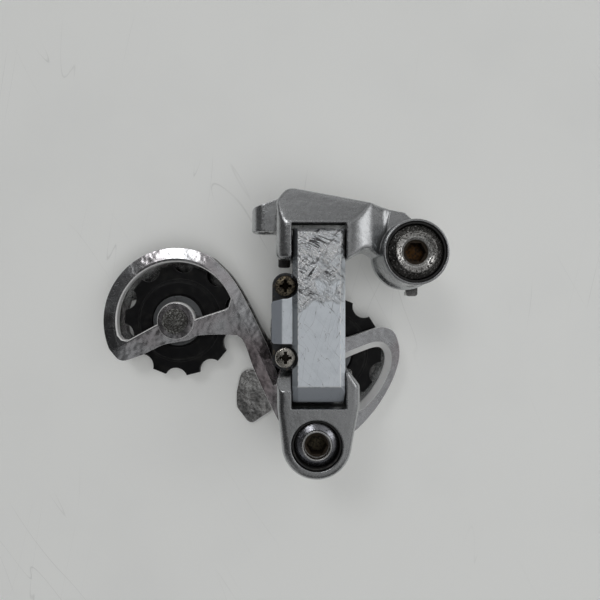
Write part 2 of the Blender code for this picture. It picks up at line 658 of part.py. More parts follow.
def pulley_bolt(name, centre, head_height):
    """Domed bolt from the outer plate, through the bush, to the inner plate."""
    seat = OUTER_PLATE_HIGH + 0.7
    shank = [(0, INNER_PLATE_LOW), (2.45, INNER_PLATE_LOW), (2.45, seat), (4.7, seat)]
    dome = [(4.7, seat + 0.5 * head_height), (3.4, seat + 0.88 * head_height), (0, seat + head_height)]
    return turned(name, shank + dome, centre, "worn_steel", segments=20)


def pulley_set(which, centre, head_height):
    """One pulley with its bush, its two dust caps and its bolt."""
    pulley(which + "_pulley", centre)
    low, high = PULLEY_Z - 3.0, PULLEY_Z + 3.0
    collar(which + "_pulley_bushing", centre, 2.6, 4.65, low, high, "bronze", 24)
    collar(which + "_cap_outer", centre, 2.7, 9.6, high + 0.2, high + 0.8, "plated_steel")
    collar(which + "_cap_inner", centre, 2.7, 9.6, low - 0.8, low - 0.2, "plated_steel")
    pulley_bolt(which + "_pulley_bolt", centre, head_height)


def pulley(name, centre):
    """Ten-tooth jockey wheel: a toothed disc, a thicker rim of its web, and a hub with the bore."""
    outline = []
    step = 360 / PULLEY_TEETH
    squares = SEAT_CENTRE_RADIUS**2 + TIP_RADIUS**2 - SEAT_RADIUS**2
    edge = math.acos(squares / (2 * SEAT_CENTRE_RADIUS * TIP_RADIUS))
    turn = math.degrees(math.asin(TIP_RADIUS * math.sin(edge) / SEAT_RADIUS))
    for tooth in range(PULLEY_TEETH):
        angle = 270 + step * tooth
        seat = arc(centre, SEAT_CENTRE_RADIUS, angle, angle, 1)[0]
        outline += arc(seat, SEAT_RADIUS, angle + 180 + turn, angle + 180 - turn, 5)
    disc = prism(name, outline, PULLEY_Z - 1.3, PULLEY_Z + 1.3, "black_plastic")
    web = [(9.2, 2.9), (9.2, 2.2), (10.2, 2.2), (10.4, 2.9), (15.0, 2.9), (16.2, 2.0)]
    upper = [(0, 2.9), *web]
    lower = [(r, -h) for r, h in reversed(upper)]
    join(disc, turned("helper", [(r, PULLEY_Z + h) for r, h in upper + lower], centre, segments=30))
    return cut(disc, cutter_rod(centre, PULLEY_BORE, -20, 0))


def cage_pieces():
    cage_outer_plate()
    cage_inner_plate()
    cage_axle_bolt()
    collar("cage_axle_bushing", KNUCKLE_AXIS, 4.2, 4.65, -4.4, -1.7, "bronze", 32)
    pulley_set("guide", GUIDE_AXIS, 1.6)
    pulley_set("tension", TENSION_AXIS, 2.6)


# ---------------------------------------------------------------- assembly

# Each moving group: its parent group, a point on its joint's axis, and its pieces.
GROUPS = {
    "mount": (None, (0, 0, 0), ["mounting_bolt", "hanger_stop_plate"]),
    "bracket": (
        "mount",
        (*BRACKET_AXIS, 0),
        [
            "bracket_body",
            "bracket_spring",
            "bracket_bushing",
            "bracket_seal_ring",
            "upper_outer_pin",
            "upper_inner_pin",
            "limit_stop_dowel",
            "cable_adjuster_barrel",
            "return_spring",
        ],
    ),
    "outer_arm": (
        "bracket",
        (LINK_LEFT, OUTER_PIN_Y, OUTER_PIN_Z),
        ["outer_link", *LIMIT_SCREW_YS],
    ),
    "inner_arm": (
        "bracket",
        (LINK_LEFT, INNER_PIN_Y, INNER_PIN_Z),
        ["inner_link", "cable_anchor_bolt", "cable_anchor_washer"],
    ),
    "knuckle": (
        "outer_arm",
        (LINK_LEFT, OUTER_PIN_Y - LINK_LENGTH, OUTER_PIN_Z),
        [
            "knuckle_body",
            "knuckle_spring",
            "knuckle_seal_ring",
            "lower_outer_pin",
            "lower_inner_pin",
            "cage_axle_bushing",
        ],
    ),
    "cage": (
        "knuckle",
        (*KNUCKLE_AXIS, 0),
        [
            "cage_outer_plate",
            "cage_inner_plate",
            "cage_stop_pin",
            "cage_axle_bolt",
            "guide_pulley_bolt",
            "guide_pulley_bushing",
            "guide_cap_outer",
            "guide_cap_inner",
            "tension_pulley_bolt",
            "tension_pulley_bushing",
            "tension_cap_outer",
            "tension_cap_inner",
        ],
    ),
    "guide_wheel": ("cage", (*GUIDE_AXIS, PULLEY_Z), ["guide_pulley"]),
    "tension_wheel": ("cage", (*TENSION_AXIS, PULLEY_Z), ["tension_pulley"]),
}


def with_helpers(piece):
    """A piece and every helper that its Booleans use, at any depth."""
    found = [piece]
    for modifier in piece.modifiers:
        if modifier.type == "BOOLEAN":
            found += with_helpers(modifier.object)
    return found


def assemble():
    """Hangs each group from an empty that stands on its joint's axis."""
    stands = {None: (None, Vector((0, 0, 0)))}
    for group, (parent, pivot, pieces) in GROUPS.items():
        above, above_point = stands[parent]
        point = in_frame(*pivot)
        stand = bpy.data.objects.new(group + "_axis", None)
        stand.empty_display_size = 6 * MM
        bpy.context.scene.collection.objects.link(stand)
        stand.parent = above
        stand.location = point - above_point
        stands[group] = (stand, point)
        for piece in pieces:
            for shape in with_helpers(bpy.data.objects[piece]):
                shape.data.transform(Matrix.Translation(-point))
                shape.parent = stand


def main():
    clear_scene()
    mounting_bolt()
    hanger_stop_plate()
    bracket_pieces()
    cable_adjuster_barrel()
    outer_link()
    for name, y in LIMIT_SCREW_YS.items():
        limit_screw(name, y)
    inner_link()
    cable_anchor()
    return_spring()
    knuckle_pieces()
    cage_pieces()
    assemble()


main()
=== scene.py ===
"""Looks of the rear derailleur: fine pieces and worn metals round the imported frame.

Sizes are in millimetres. Heights are counted from the face that meets the dropout hanger, as in
the CAD, and axes and levels are read from the frame.
"""

import json
import math

import bmesh
import bpy
from mathutils import Matrix, Vector


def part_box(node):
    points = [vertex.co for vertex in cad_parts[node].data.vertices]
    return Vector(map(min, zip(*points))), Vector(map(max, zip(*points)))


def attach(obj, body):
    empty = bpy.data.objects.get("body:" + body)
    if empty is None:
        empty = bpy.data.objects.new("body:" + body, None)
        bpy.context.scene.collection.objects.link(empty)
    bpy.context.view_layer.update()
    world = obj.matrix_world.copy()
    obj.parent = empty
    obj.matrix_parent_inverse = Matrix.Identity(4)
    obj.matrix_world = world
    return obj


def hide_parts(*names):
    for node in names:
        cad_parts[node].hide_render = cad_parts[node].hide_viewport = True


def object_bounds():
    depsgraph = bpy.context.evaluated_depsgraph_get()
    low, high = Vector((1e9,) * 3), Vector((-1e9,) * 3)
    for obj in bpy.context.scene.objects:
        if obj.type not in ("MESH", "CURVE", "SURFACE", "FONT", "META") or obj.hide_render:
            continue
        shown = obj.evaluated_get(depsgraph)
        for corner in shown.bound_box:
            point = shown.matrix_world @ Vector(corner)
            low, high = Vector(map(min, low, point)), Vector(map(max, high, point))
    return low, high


MM = 0.001
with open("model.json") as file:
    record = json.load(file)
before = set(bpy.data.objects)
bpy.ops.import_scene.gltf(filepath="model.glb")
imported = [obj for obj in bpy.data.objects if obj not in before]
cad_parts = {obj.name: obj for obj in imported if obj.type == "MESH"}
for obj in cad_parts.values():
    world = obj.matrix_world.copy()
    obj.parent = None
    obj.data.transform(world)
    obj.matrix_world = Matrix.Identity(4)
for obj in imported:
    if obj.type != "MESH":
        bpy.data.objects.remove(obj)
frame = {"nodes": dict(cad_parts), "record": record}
CAD_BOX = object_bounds()
MOUNTS = {mount["name"]: mount for mount in frame["record"]["mounts"]}
HANGER_FACE = MOUNTS["hanger_face"]["pos_m"][2] / MM


def low(node, axis):
    """A CAD node's lowest coordinate on an axis, in millimetres, from the hanger face on Z."""
    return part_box(node)[0]["XYZ".index(axis)] / MM - (HANGER_FACE if axis == "Z" else 0)


def high(node, axis):
    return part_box(node)[1]["XYZ".index(axis)] / MM - (HANGER_FACE if axis == "Z" else 0)


def heights(node):
    return low(node, "Z"), high(node, "Z")


def centre(node, axes="XY"):
    return tuple((low(node, axis) + high(node, axis)) / 2 for axis in axes)


BOLT_AXIS = centre("mounting_bolt")
KNUCKLE_AXIS = centre("cage_axle_bolt")
GUIDE_AXIS = centre("guide_pulley_bolt")
TENSION_AXIS = centre("tension_pulley_bolt")
PULLEY_Z = centre("tension_pulley", "Z")[0]
UPPER_PIN = centre("upper_outer_pin", "YZ")
LOWER_PIN = centre("lower_outer_pin", "YZ")
INNER_PINS = (centre("upper_inner_pin", "YZ"), centre("lower_inner_pin", "YZ"))
SCREWS = {name: centre(name) for name in ("high_limit_screw", "low_limit_screw")}

# The outer link, the creases round its face, and the slots that it swings in.
LINK_RIGHT = high("outer_link", "X")
LINK_LEFT = LINK_RIGHT - 17.3
LINK_FACE = high("outer_link", "Z")
LINK_FOOT = -43.5
LEFT_CREASE, RIGHT_CREASE = LINK_LEFT + 1.9, LINK_RIGHT - 1.8
SLOT = (LINK_LEFT - 0.3, LINK_RIGHT + 0.3)
SEAT_Z = low("high_limit_screw", "Z") + 9.15

RING_RADIUS, WINDOW_RADIUS, HUB_RADIUS = 28.0, 22.6, 7.3
HEX_RADIUS = 6.0 / math.sqrt(3)


# ---------------------------------------------------------------- outlines


def arc(middle, radius, start, end, steps=24):
    """Points on a circle from one angle to the other, in degrees."""
    angles = [math.radians(start + (end - start) * i / steps) for i in range(steps + 1)]
    return [(middle[0] + radius * math.cos(a), middle[1] + radius * math.sin(a)) for a in angles]


def regular(middle, radius, sides):
    return arc(middle, radius, 0, 360 - 360 / sides, sides - 1)


def smooth(points, steps=8):
    """A Catmull-Rom curve through the points, without its last one."""
    padded = [points[0], *points, points[-1]]
    curve = []
    for before, a, b, after in zip(padded, padded[1:], padded[2:], padded[3:]):
        for step in range(steps):
            t = step / steps
            weights = (
                (-t + 2 * t**2 - t**3) / 2,
                (2 - 5 * t**2 + 3 * t**3) / 2,
                (t + 4 * t**2 - 3 * t**3) / 2,
                (-(t**2) + t**3) / 2,
            )
            near = (before, a, b, after)
            curve.append(tuple(sum(w * p[k] for w, p in zip(weights, near)) for k in (0, 1)))
    return curve


def rounded(corners, steps=6):
    """A closed outline from (x, y, radius) corners, each rounded by an arc of its radius."""
    outline = []
    for i, (x, y, radius) in enumerate(corners):
        here = Vector((x, y))
        back = (Vector(corners[i - 1][:2]) - here).normalized()
        onward = (Vector(corners[(i + 1) % len(corners)][:2]) - here).normalized()
        if radius <= 0:
            outline.append((x, y))
            continue
        half = back.angle(onward) / 2
        middle = here + (back + onward).normalized() * (radius / math.sin(half))
        first = here + back * (radius / math.tan(half)) - middle
        turn = first.angle_signed(here + onward * (radius / math.tan(half)) - middle)
        for step in range(steps + 1):
            point = first.copy()
            point.rotate(Matrix.Rotation(-turn * step / steps, 2))
            outline.append(tuple(middle + point))
    return outline


def grown(outline, distance):
    """The outline moved outwards by a distance, or inwards if it is negative."""
    count = len(outline)
    points = [Vector(p) for p in outline]
    area = sum(points[i - 1].cross(points[i]) for i in range(count))
    side = 1 if area > 0 else -1
    moved = []
    for i, point in enumerate(points):
        before = (point - points[i - 1]).normalized()
        after = (points[(i + 1) % count] - point).normalized()
        normal = Vector((before.y + after.y, -before.x - after.x))
        normal = normal.normalized() if normal.length > 1e-6 else Vector((after.y, -after.x))
        spread = max(0.5, normal.dot(Vector((after.y, -after.x))))
        moved.append(tuple(point + normal * (side * distance / spread)))
    return moved


# ---------------------------------------------------------------- solids


def in_frame(x, y, z):
    return Vector((x, y, z + HANGER_FACE)) * MM


def place(a, b, along, axis):
    """The point at (a, b) in the plane across an axis, at a distance along that axis."""
    return in_frame(*{"Z": (a, b, along), "X": (along, a, b), "Y": (b, along, a)}[axis])


def new_object(name, made):
    bmesh.ops.recalc_face_normals(made, faces=made.faces)
    mesh = bpy.data.meshes.new(name)
    made.to_mesh(mesh)
    made.free()
    shape = bpy.data.objects.new(name, mesh)
    bpy.context.scene.collection.objects.link(shape)
    return shape


def skin(name, rings):
    """A body through rings of points, capped at both ends."""
    made = bmesh.new()
    loops = [[made.verts.new(point) for point in ring] for ring in rings]
    for below, above in zip(loops, loops[1:]):
        for i in range(len(below)):
            j = (i + 1) % len(below)
            made.faces.new((below[i], below[j], above[j], above[i]))
    made.faces.new(loops[0])
    made.faces.new(loops[-1])
    return new_object(name, made)


def layered(name, outline, layers, axis="Z"):
    """An outline stacked along an axis, grown by each layer's amount at its height."""
    rings = []
    for growth, along in layers:
        ring = grown(outline, growth) if growth else outline
        rings.append([place(a, b, along, axis) for a, b in ring])
    return skin(name, rings)


def prism(name, outline, bottom, top, axis="Z", edge=0.0):
    """An outline extruded along an axis, its two rims rounded if an edge size is given."""
    if not edge:
        return layered(name, outline, [(0, bottom), (0, top)], axis)
    bend = [(x - edge, y) for x, y in arc((0, edge), edge, -90, 0, 3)]
    layers = [(growth, bottom + rise) for growth, rise in bend]
    layers += [(growth, top - rise) for growth, rise in reversed(bend)]
    return layered(name, outline, layers, axis)


def turned(name, profile, middle, segments=96):
    """A (radius, height) profile turned about an upright axis: a loop, or one with both ends on it."""
    made = bmesh.new()
    rings = []
    for radius, height in profile:
        if radius < 1e-6:
            rings.append([made.verts.new(in_frame(*middle, height))] * segments)
            continue
        circle = regular(middle, radius, segments)
        rings.append([made.verts.new(in_frame(x, y, height)) for x, y in circle])
    pairs = list(zip(rings, rings[1:] + (rings[:1] if profile[0][0] > 1e-6 else [])))
    for lower, upper in pairs:
        for i in range(segments):
            j = (i + 1) % segments
            made.faces.new(dict.fromkeys((lower[i], lower[j], upper[j], upper[i])))
    return new_object(name, made)


def cylinder(middle, radius, bottom, top, axis="Z", segments=64):
    return prism("cutter", regular(middle, radius, segments), bottom, top, axis)


def applied(shape):
    """Makes the modifiers part of the mesh, and merges points closer than a micrometre."""
    graph = bpy.context.evaluated_depsgraph_get()
    made = bmesh.new()
    made.from_object(shape, graph)
    shape.modifiers.clear()
    bmesh.ops.remove_doubles(made, verts=made.verts, dist=0.001 * MM)
    bmesh.ops.dissolve_degenerate(made, edges=made.edges, dist=0.001 * MM)
    made.to_mesh(shape.data)
    made.free()
    return shape


def combine(target, others, operation):
    """Applies a Boolean with each helper in turn, and removes the helpers."""
    for other in others:
        modifier = target.modifiers.new(operation, "BOOLEAN")
        modifier.operation = operation
        modifier.object = other
        modifier.solver = "EXACT"
        applied(target)
        bpy.data.objects.remove(other)
    return target


def cut(target, *cutters):
    return combine(target, cutters, "DIFFERENCE")


def join(target, *others):
    return combine(target, others, "UNION")


def keep_inside(target, *others):
    return combine(target, others, "INTERSECT")


def worn_down(shape, voxel, rounds):
    """Rebuilds a solid on a fine grid and smooths it, which rounds every edge and corner a little."""
    grid = shape.modifiers.new("grid", "REMESH")
    grid.mode = "VOXEL"
    grid.voxel_size = voxel * MM
    rub = shape.modifiers.new("rub", "SMOOTH")
    rub.factor = 0.5
    rub.iterations = rounds
    return applied(shape)


def moulding(path, section):
    """A bar that follows a path; its section is (distance to the path's right, height) pairs."""
    rings = []
    for i, point in enumerate(path):
        ahead = Vector(path[min(i + 1, len(path) - 1)]) - Vector(path[max(i - 1, 0)])
        right = Vector((ahead.y, -ahead.x)).normalized()
        rings.append([in_frame(point[0] + right.x * a, point[1] + right.y * a, z) for a, z in section])
    return skin("cutter", rings)


def round_over(radius, top):
    """The section of a moulding that rounds the top edge of a side along its path."""
    curve = [(x - radius, top + y - radius) for x, y in arc((0, 0), radius, 90, 0, 10)]
    return [(-radius, top + 1), *curve, (1, top - radius), (1, top + 1)]


def finish_piece(shape, body, surface, slot, *nodes, sharp=38):
    """Shades a piece, gives it its surface, ties it to its body and hides the CAD nodes it stands for."""
    shape.data.materials.clear()
    shape.data.materials.append(surface)
    shape.data.shade_smooth()
    if sharp:
        shape.data.set_sharp_from_angle(angle=math.radians(sharp))
        flats = shape.modifiers.new("true flats", "WEIGHTED_NORMAL")
        flats.weight = 90
        flats.keep_sharp = True
    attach(shape, body)
    if nodes:
        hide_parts(*nodes)
    return shape


# ---------------------------------------------------------------- materials


def give(tree, socket, given):
    """Links a socket, or sets it to a plain value."""
    if isinstance(given, bpy.types.NodeSocket):
        tree.links.new(given, socket)
    elif socket.type == "RGBA":
        socket.default_value = (*given, 1)
    else:
        socket.default_value = given


def add_node(tree, kind, inputs=None, **settings):
    node = tree.nodes.new(kind)
    for key, setting in settings.items():
        setattr(node, key, setting)
    for key, given in (inputs or {}).items():
        give(tree, node.inputs[key], given)
    return node


class Surface:
    """A material under construction: colour, roughness and height, changed by masks in millimetres."""

    def __init__(self, name, colour, roughness, metallic):
        self.material = bpy.data.materials.new(name)
        self.material.use_nodes = True
        self.tree = self.material.node_tree
        self.shader = self.tree.nodes["Principled BSDF"]
        self.metallic = metallic
        self.colour = colour
        self.roughness = roughness
        self.height = None
        self.place = self.add("ShaderNodeTexCoord").outputs["Object"]

    def add(self, kind, inputs=None, **settings):
        return add_node(self.tree, kind, inputs, **settings)

    def math(self, operation, a, b=0.0, c=0.0):
        return self.add("ShaderNodeMath", {0: a, 1: b, 2: c}, operation=operation).outputs[0]

    def times(self, a, b):
        return self.math("MULTIPLY", a, b)

    def ramp(self, value, start, end, first=0.0, last=1.0):
        """Smoothly from first to last as the value goes from start to end."""
        given = {"Value": value, "From Min": start, "From Max": end, "To Min": first, "To Max": last}
        return self.add("ShaderNodeMapRange", given, interpolation_type="SMOOTHSTEP").outputs[0]

    def grid(self, stretch=(1, 1, 1), turn=(0, 0)):
        """Coordinates in millimetres, turned about X and Z and then stretched."""
        spin = (math.radians(turn[0]), 0, math.radians(turn[1]))
        size = tuple(s / MM for s in stretch)
        spun = self.add("ShaderNodeMapping", {"Vector": self.place, "Rotation": spin}).outputs[0]
        return self.add("ShaderNodeMapping", {"Vector": spun, "Scale": size}).outputs[0]

    def noise(self, scale, detail=4.0, rough=0.55, warp=0.0, grid=None):
        given = {"Vector": grid or self.grid(), "Scale": scale, "Detail": detail}
        given |= {"Roughness": rough, "Distortion": warp}
        return self.add("ShaderNodeTexNoise", given).outputs[0]

    def patches(self, scale, level, soft=0.06, **kind):
        """Cloudy patches: the part of a noise above a level."""
        return self.ramp(self.noise(scale, **kind), level - soft, level + soft)

    def spots(self, scale, size):
        """Round spots of a share of their spacing."""
        given = {"Vector": self.grid(), "Scale": scale}
        distance = self.add("ShaderNodeTexVoronoi", given).outputs["Distance"]
        return self.ramp(distance, size * 0.6, size, 1, 0)

    def lines(self, scale, turn, thickness, stretch=14.0):
        """Broken thin lines along one direction: where a stretched noise crosses its middle."""
        noise = self.noise(scale, 2.0, 0.5, 0.25, self.grid((1, 1 / stretch, 1 / stretch), turn))
        return self.ramp(self.math("ABSOLUTE", self.math("SUBTRACT", noise, 0.5)), 0, thickness, 1, 0)

    def axis(self, name):
        """One coordinate in millimetres, with Z counted from the hanger face."""
        whole = self.add("ShaderNodeSeparateXYZ", {0: self.place}).outputs[name]
        start = HANGER_FACE if name == "Z" else 0.0
        return self.math("MULTIPLY_ADD", whole, 1 / MM, -start)

    def along(self, name, start, end, first=0.0, last=1.0):
        """Smoothly from first to last between two levels on one axis."""
        return self.ramp(self.axis(name), start, end, first, last)

    def tint(self, mask, colour, amount=1.0):
        """Mixes a colour in where the mask is."""
        given = {0: self.times(mask, amount), 6: self.colour, 7: colour}
        self.colour = self.add("ShaderNodeMix", given, data_type="RGBA").outputs[2]

    def rough(self, mask, roughness):
        """Moves the roughness towards a value where the mask is."""
        given = {"Value": mask, "To Min": self.roughness, "To Max": roughness}
        self.roughness = self.add("ShaderNodeMapRange", given).outputs[0]

    def metal(self, mask, metallic):
        """Moves the share of bare metal towards a value where the mask is."""
        given = {"Value": mask, "To Min": self.metallic, "To Max": metallic}
        self.metallic = self.add("ShaderNodeMapRange", given).outputs[0]

    def from_axis(self, middle, inner, outer):
        """1 within the inner radius of an upright axis, 0 beyond the outer one."""
        x = self.math("SUBTRACT", self.axis("X"), middle[0])
        y = self.math("SUBTRACT", self.axis("Y"), middle[1])
        squares = self.math("MULTIPLY_ADD", x, x, self.times(y, y))
        return self.ramp(self.math("SQRT", squares), inner, outer, 1, 0)

    def raise_by(self, mask, amount):
        """Adds to the surface's height, in millimetres."""
        step = self.times(mask, amount)
        self.height = self.math("ADD", self.height, step) if self.height else step

    def crevices(self, reach, closed=0.25, clear=0.8):
        """1 deep in a corner, 0 in the open; the limits are shares of open sky within reach."""
        given = {"Distance": reach * MM}
        openness = self.add("ShaderNodeAmbientOcclusion", given, samples=6).outputs["AO"]
        return self.ramp(openness, closed, clear, 1, 0)

    def softened(self, radius):
        """The surface's normal, with sharp edges shaded as if they had a radius."""
        return self.add("ShaderNodeBevel", {"Radius": radius * MM}, samples=6).outputs[0]

    def edges(self, radius):
        """1 on edges sharper than the radius, 0 on flat stretches."""
        flat = self.add("ShaderNodeNewGeometry").outputs["Normal"]
        same = self.add("ShaderNodeVectorMath", {0: self.softened(radius), 1: flat}, operation="DOT_PRODUCT")
        return self.ramp(same.outputs["Value"], 0.995, 0.94, 0, 1)

    def slopes(self):
        """1 on steep sides, 0 on flats."""
        normal = self.add("ShaderNodeNewGeometry").outputs["Normal"]
        upward = self.add("ShaderNodeSeparateXYZ", {0: normal}).outputs["Z"]
        return self.ramp(self.math("ABSOLUTE", upward), 0.93, 0.75)

    def done(self, soft=0.0):
        """The finished material; soft is the radius that its shading gives to sharp edges."""
        bump = {"Height": self.height, "Distance": MM}
        if soft:
            bump["Normal"] = self.softened(soft)
        looks = {"Base Color": self.colour, "Roughness": self.roughness, "Metallic": self.metallic}
        looks["Normal"] = self.add("ShaderNodeBump", bump).outputs[0]
        for name, given in looks.items():
            give(self.tree, self.shader.inputs[name], given)
        return self.material


def handled(surface, cloud=0.12, haze=0.33):
    """What every handled metal shows: clouded tone, hazy patches and hairlines all ways."""
    surface.tint(surface.patches(0.35, 0.5, 0.2, detail=5), (0.30, 0.30, 0.30), cloud)
    surface.rough(surface.patches(0.5, 0.6, 0.12, detail=6), haze)
    for turn in ((0, 20), (30, -65), (70, 100)):
        hair = surface.times(surface.lines(0.8, turn, 0.003), surface.patches(0.3, 0.5, detail=2))
        surface.rough(hair, 0.4)
        surface.raise_by(hair, -0.002)


def cast_alloy():
    """Satin cast alloy: soft grain, hairlines, painted shade in the corners and bright worn edges."""
    surface = Surface("satin_casting", (0.50, 0.51, 0.52), 0.26, 1.0)
    handled(surface, cloud=0.06, haze=0.31)
    surface.raise_by(surface.noise(3.0, 3), 0.004)
    surface.raise_by(surface.noise(0.22, 3), 0.15)
    nicks = surface.times(surface.spots(0.45, 0.07), surface.patches(0.2, 0.6, detail=2))
    surface.raise_by(nicks, -0.04)
    surface.tint(nicks, (0.16, 0.16, 0.17), 0.7)
    surface.tint(surface.edges(0.3), (0.86, 0.87, 0.88), 0.35)
    # painted shade: darker and rougher where the surface is closed in
    corner = surface.crevices(2.5)
    surface.tint(corner, (0.035, 0.033, 0.03), 0.8)
    surface.rough(corner, 0.6)
    return surface.done()


def polished_alloy():
    """Polished cage plate: nearly a mirror, with fine swirls and dulled patches, painted reddish reflections,
    painted light on its steep sides and edges, and painted shade in its corners.
    """
    surface = Surface("polished_plate", (0.68, 0.69, 0.71), 0.23, 1.0)
    handled(surface, cloud=0.06, haze=0.22)
    # painted reflection: faint reddish patches
    surface.tint(surface.patches(0.05, 0.52, 0.1, detail=2), (0.50, 0.42, 0.44), 0.4)
    # painted reflection: dark reddish on the arm round (-58, -42)
    surface.tint(surface.from_axis((-58, -42), 8, 20), (0.33, 0.27, 0.28), 0.8)
    surface.raise_by(surface.noise(0.16, 2), 0.45)
    surface.raise_by(surface.noise(0.5, 2), 0.05)
    # painted light: steep sides lighter, rougher and less metallic, so that they show bright
    sides = surface.slopes()
    surface.tint(sides, (0.93, 0.93, 0.92), 0.9)
    surface.rough(sides, 0.42)
    surface.metal(sides, 0.35)
    specks = surface.times(surface.spots(1.6, 0.13), surface.patches(0.16, 0.64, detail=3))
    surface.tint(specks, (0.09, 0.085, 0.08))
    surface.raise_by(specks, -0.02)
    # painted highlight: a bright line along every sharp edge
    surface.tint(surface.edges(0.3), (0.92, 0.92, 0.93), 0.7)
    # painted shade in the corners
    surface.tint(surface.crevices(2.5), (0.04, 0.04, 0.04), 0.7)
    return surface.done(soft=0.15)


def plated_steel():
    """Bright plating, pitted with small rust spots in clusters, with painted shade where it is closed in."""
    surface = Surface("bright_plating", (0.64, 0.64, 0.63), 0.17, 1.0)
    handled(surface, haze=0.3)
    surface.tint(surface.patches(0.12, 0.5, 0.12, detail=3), (0.44, 0.435, 0.43), 0.6)
    surface.raise_by(surface.noise(0.2, 2), 0.3)
    cluster = surface.patches(0.14, 0.50, detail=4, warp=0.4)
    pits = surface.times(surface.spots(2.0, 0.3), cluster)
    surface.tint(pits, (0.13, 0.085, 0.05), 0.9)
    surface.rough(pits, 0.75)
    surface.raise_by(pits, -0.03)
    # painted shade: near black wherever the plate is closed in within 9 mm
    surface.tint(surface.crevices(9.0, 0.5, 0.95), (0.02, 0.02, 0.02), 0.97)
    return surface.done(soft=0.15)


def corroded_steel(name, level, colour, roughness, sockets=(), rim=0.0, slot=0.0):
    """Plated steel that has broken up into dark scale, with painted shade and rusty grime in its corners and
    sockets, a painted highlight ring round each socket, painted dark reflection in patches beyond the rim
    radius, and painted shade below the slot level.
    """
    surface = Surface(name, colour, roughness, 1.0)
    handled(surface)
    scale = surface.patches(1.5, level, 0.04, detail=8, rough=0.7, warp=0.6)
    surface.tint(scale, (0.045, 0.040, 0.036), 0.9)
    surface.rough(scale, 0.62)
    surface.raise_by(scale, -0.05)
    surface.raise_by(surface.noise(4.0, 4), 0.03)
    # painted shade and rusty grime in the corners
    surface.tint(surface.crevices(2.0), (0.03, 0.022, 0.014), 0.8)
    for middle, reach in sockets:
        # painted highlight: a bright ring round the socket's mouth
        surface.tint(surface.from_axis(middle, reach + 0.9, reach + 1.1), (0.88, 0.88, 0.86), 0.7)
        # painted shade and brown grime inside the socket
        inside = surface.from_axis(middle, reach - 0.3, reach + 0.2)
        surface.tint(inside, (0.045, 0.028, 0.013), 0.95)
        surface.rough(inside, 0.65)
        surface.raise_by(surface.times(inside, surface.noise(1.4, 7)), 0.3)
        if rim:
            # painted dark reflection: dark patches beyond the rim radius
            outside = surface.from_axis(middle, rim + 0.5, rim)
            painted_dark_reflection = surface.times(outside, surface.patches(2.0, 0.4, 0.05, detail=6))
            surface.tint(painted_dark_reflection, (0.05, 0.047, 0.044), 0.92)
    if slot:
        # painted shade: near black below the slot level, in the cross recess and down the head
        painted_recess_shade = surface.along("Z", slot - 0.7, slot - 0.9)
        surface.tint(painted_recess_shade, (0.012, 0.009, 0.006), 0.97)
    return surface.done(soft=0.1)


def moulded_plastic():
    """Black moulded plastic, greasy and lightly rubbed."""
    surface = Surface("moulded_plastic", (0.004, 0.004, 0.0045), 0.3, 0.0)
    surface.shader.inputs["Specular IOR Level"].default_value = 0.25
    surface.tint(surface.patches(0.25, 0.6, 0.1, detail=5), (0.012, 0.012, 0.011), 0.8)
    surface.rough(surface.patches(0.6, 0.55, 0.15, detail=6), 0.55)
    surface.raise_by(surface.noise(2.5, 4), 0.02)
    surface.raise_by(surface.lines(0.9, (0, 35), 0.008), -0.01)
    surface.tint(surface.edges(0.3), (0.07, 0.07, 0.07), 0.6)
    return surface.done(soft=0.2)


def seal_rubber():
    """Dull black rubber with dust."""
    surface = Surface("dusty_rubber", (0.012, 0.012, 0.012), 0.6, 0.0)
    surface.raise_by(surface.noise(2.0, 5), 0.05)
    surface.tint(surface.patches(0.8, 0.6, 0.08, detail=5), (0.06, 0.055, 0.05), 0.6)
    return surface.done()


def bearing_bronze():
    surface = Surface("bearing_bronze", (0.55, 0.36, 0.17), 0.4, 1.0)
    surface.tint(surface.noise(0.8), (0.25, 0.16, 0.08), 0.5)
    surface.raise_by(surface.noise(5.0, 3), 0.02)
    return surface.done()


def spring_wire():
    surface = Surface("spring_wire", (0.24, 0.24, 0.25), 0.35, 1.0)
    surface.tint(surface.patches(1.2, 0.57, 0.08, detail=5), (0.10, 0.07, 0.05), 0.6)
    surface.raise_by(surface.noise(6.0, 3), 0.015)
    return surface.done()


def band(surface, name, middle, half, soft):
    """1 within half a width of a level on one axis, 0 beyond its soft rims."""
    below = surface.along(name, middle - half - soft, middle - half)
    return surface.times(below, surface.along(name, middle + half + soft, middle + half))


def link_scrapes(surface):
    """Lacquer scraped off near the bracket and down the left, with gouges across the bare metal."""
    near_bracket = surface.along("Y", -26, -4, -0.2, 0.25)
    on_left = surface.along("X", -40, -22, 0.08, -0.12)
    scraped = surface.math("ADD", surface.noise(0.16, 6, warp=0.5), near_bracket)
    scraped = surface.ramp(surface.math("ADD", scraped, on_left), 0.47, 0.74)
    scraped = surface.times(scraped, surface.along("X", LINK_LEFT - 0.1, LINK_LEFT + 0.3))
    surface.tint(scraped, (0.88, 0.90, 0.92), 0.8)
    for turn, scale, dark in ((-68, 1.3, 0.46), (-40, 0.8, 0.40), (50, 0.9, 0.41)):
        gouges = surface.noise(scale, 4, 0.6, 0.5, surface.grid((1, 0.16, 0.16), (0, turn)))
        bright = surface.ramp(gouges, 0.56, 0.61)
        shaded = surface.ramp(gouges, dark, dark - 0.05)
        surface.raise_by(surface.times(gouges, scraped), 0.5)
        surface.tint(surface.times(bright, scraped), (0.97, 0.98, 0.99))
        surface.tint(surface.times(shaded, scraped), (0.11, 0.11, 0.115))
    surface.rough(scraped, 0.2)
    surface.metal(scraped, 0.75)


def link_marks(surface):
    """Hairlines both ways, and small dark chips in clusters."""
    for turn in (15, -40):
        hair = surface.lines(0.35, (0, turn), 0.004, stretch=9.0)
        surface.tint(hair, (0.20, 0.21, 0.22), 0.7)
        surface.raise_by(hair, -0.01)
    chips = surface.times(surface.spots(0.32, 0.07), surface.patches(0.25, 0.52, detail=3))
    surface.tint(chips, (0.12, 0.12, 0.125))
    surface.raise_by(chips, -0.04)


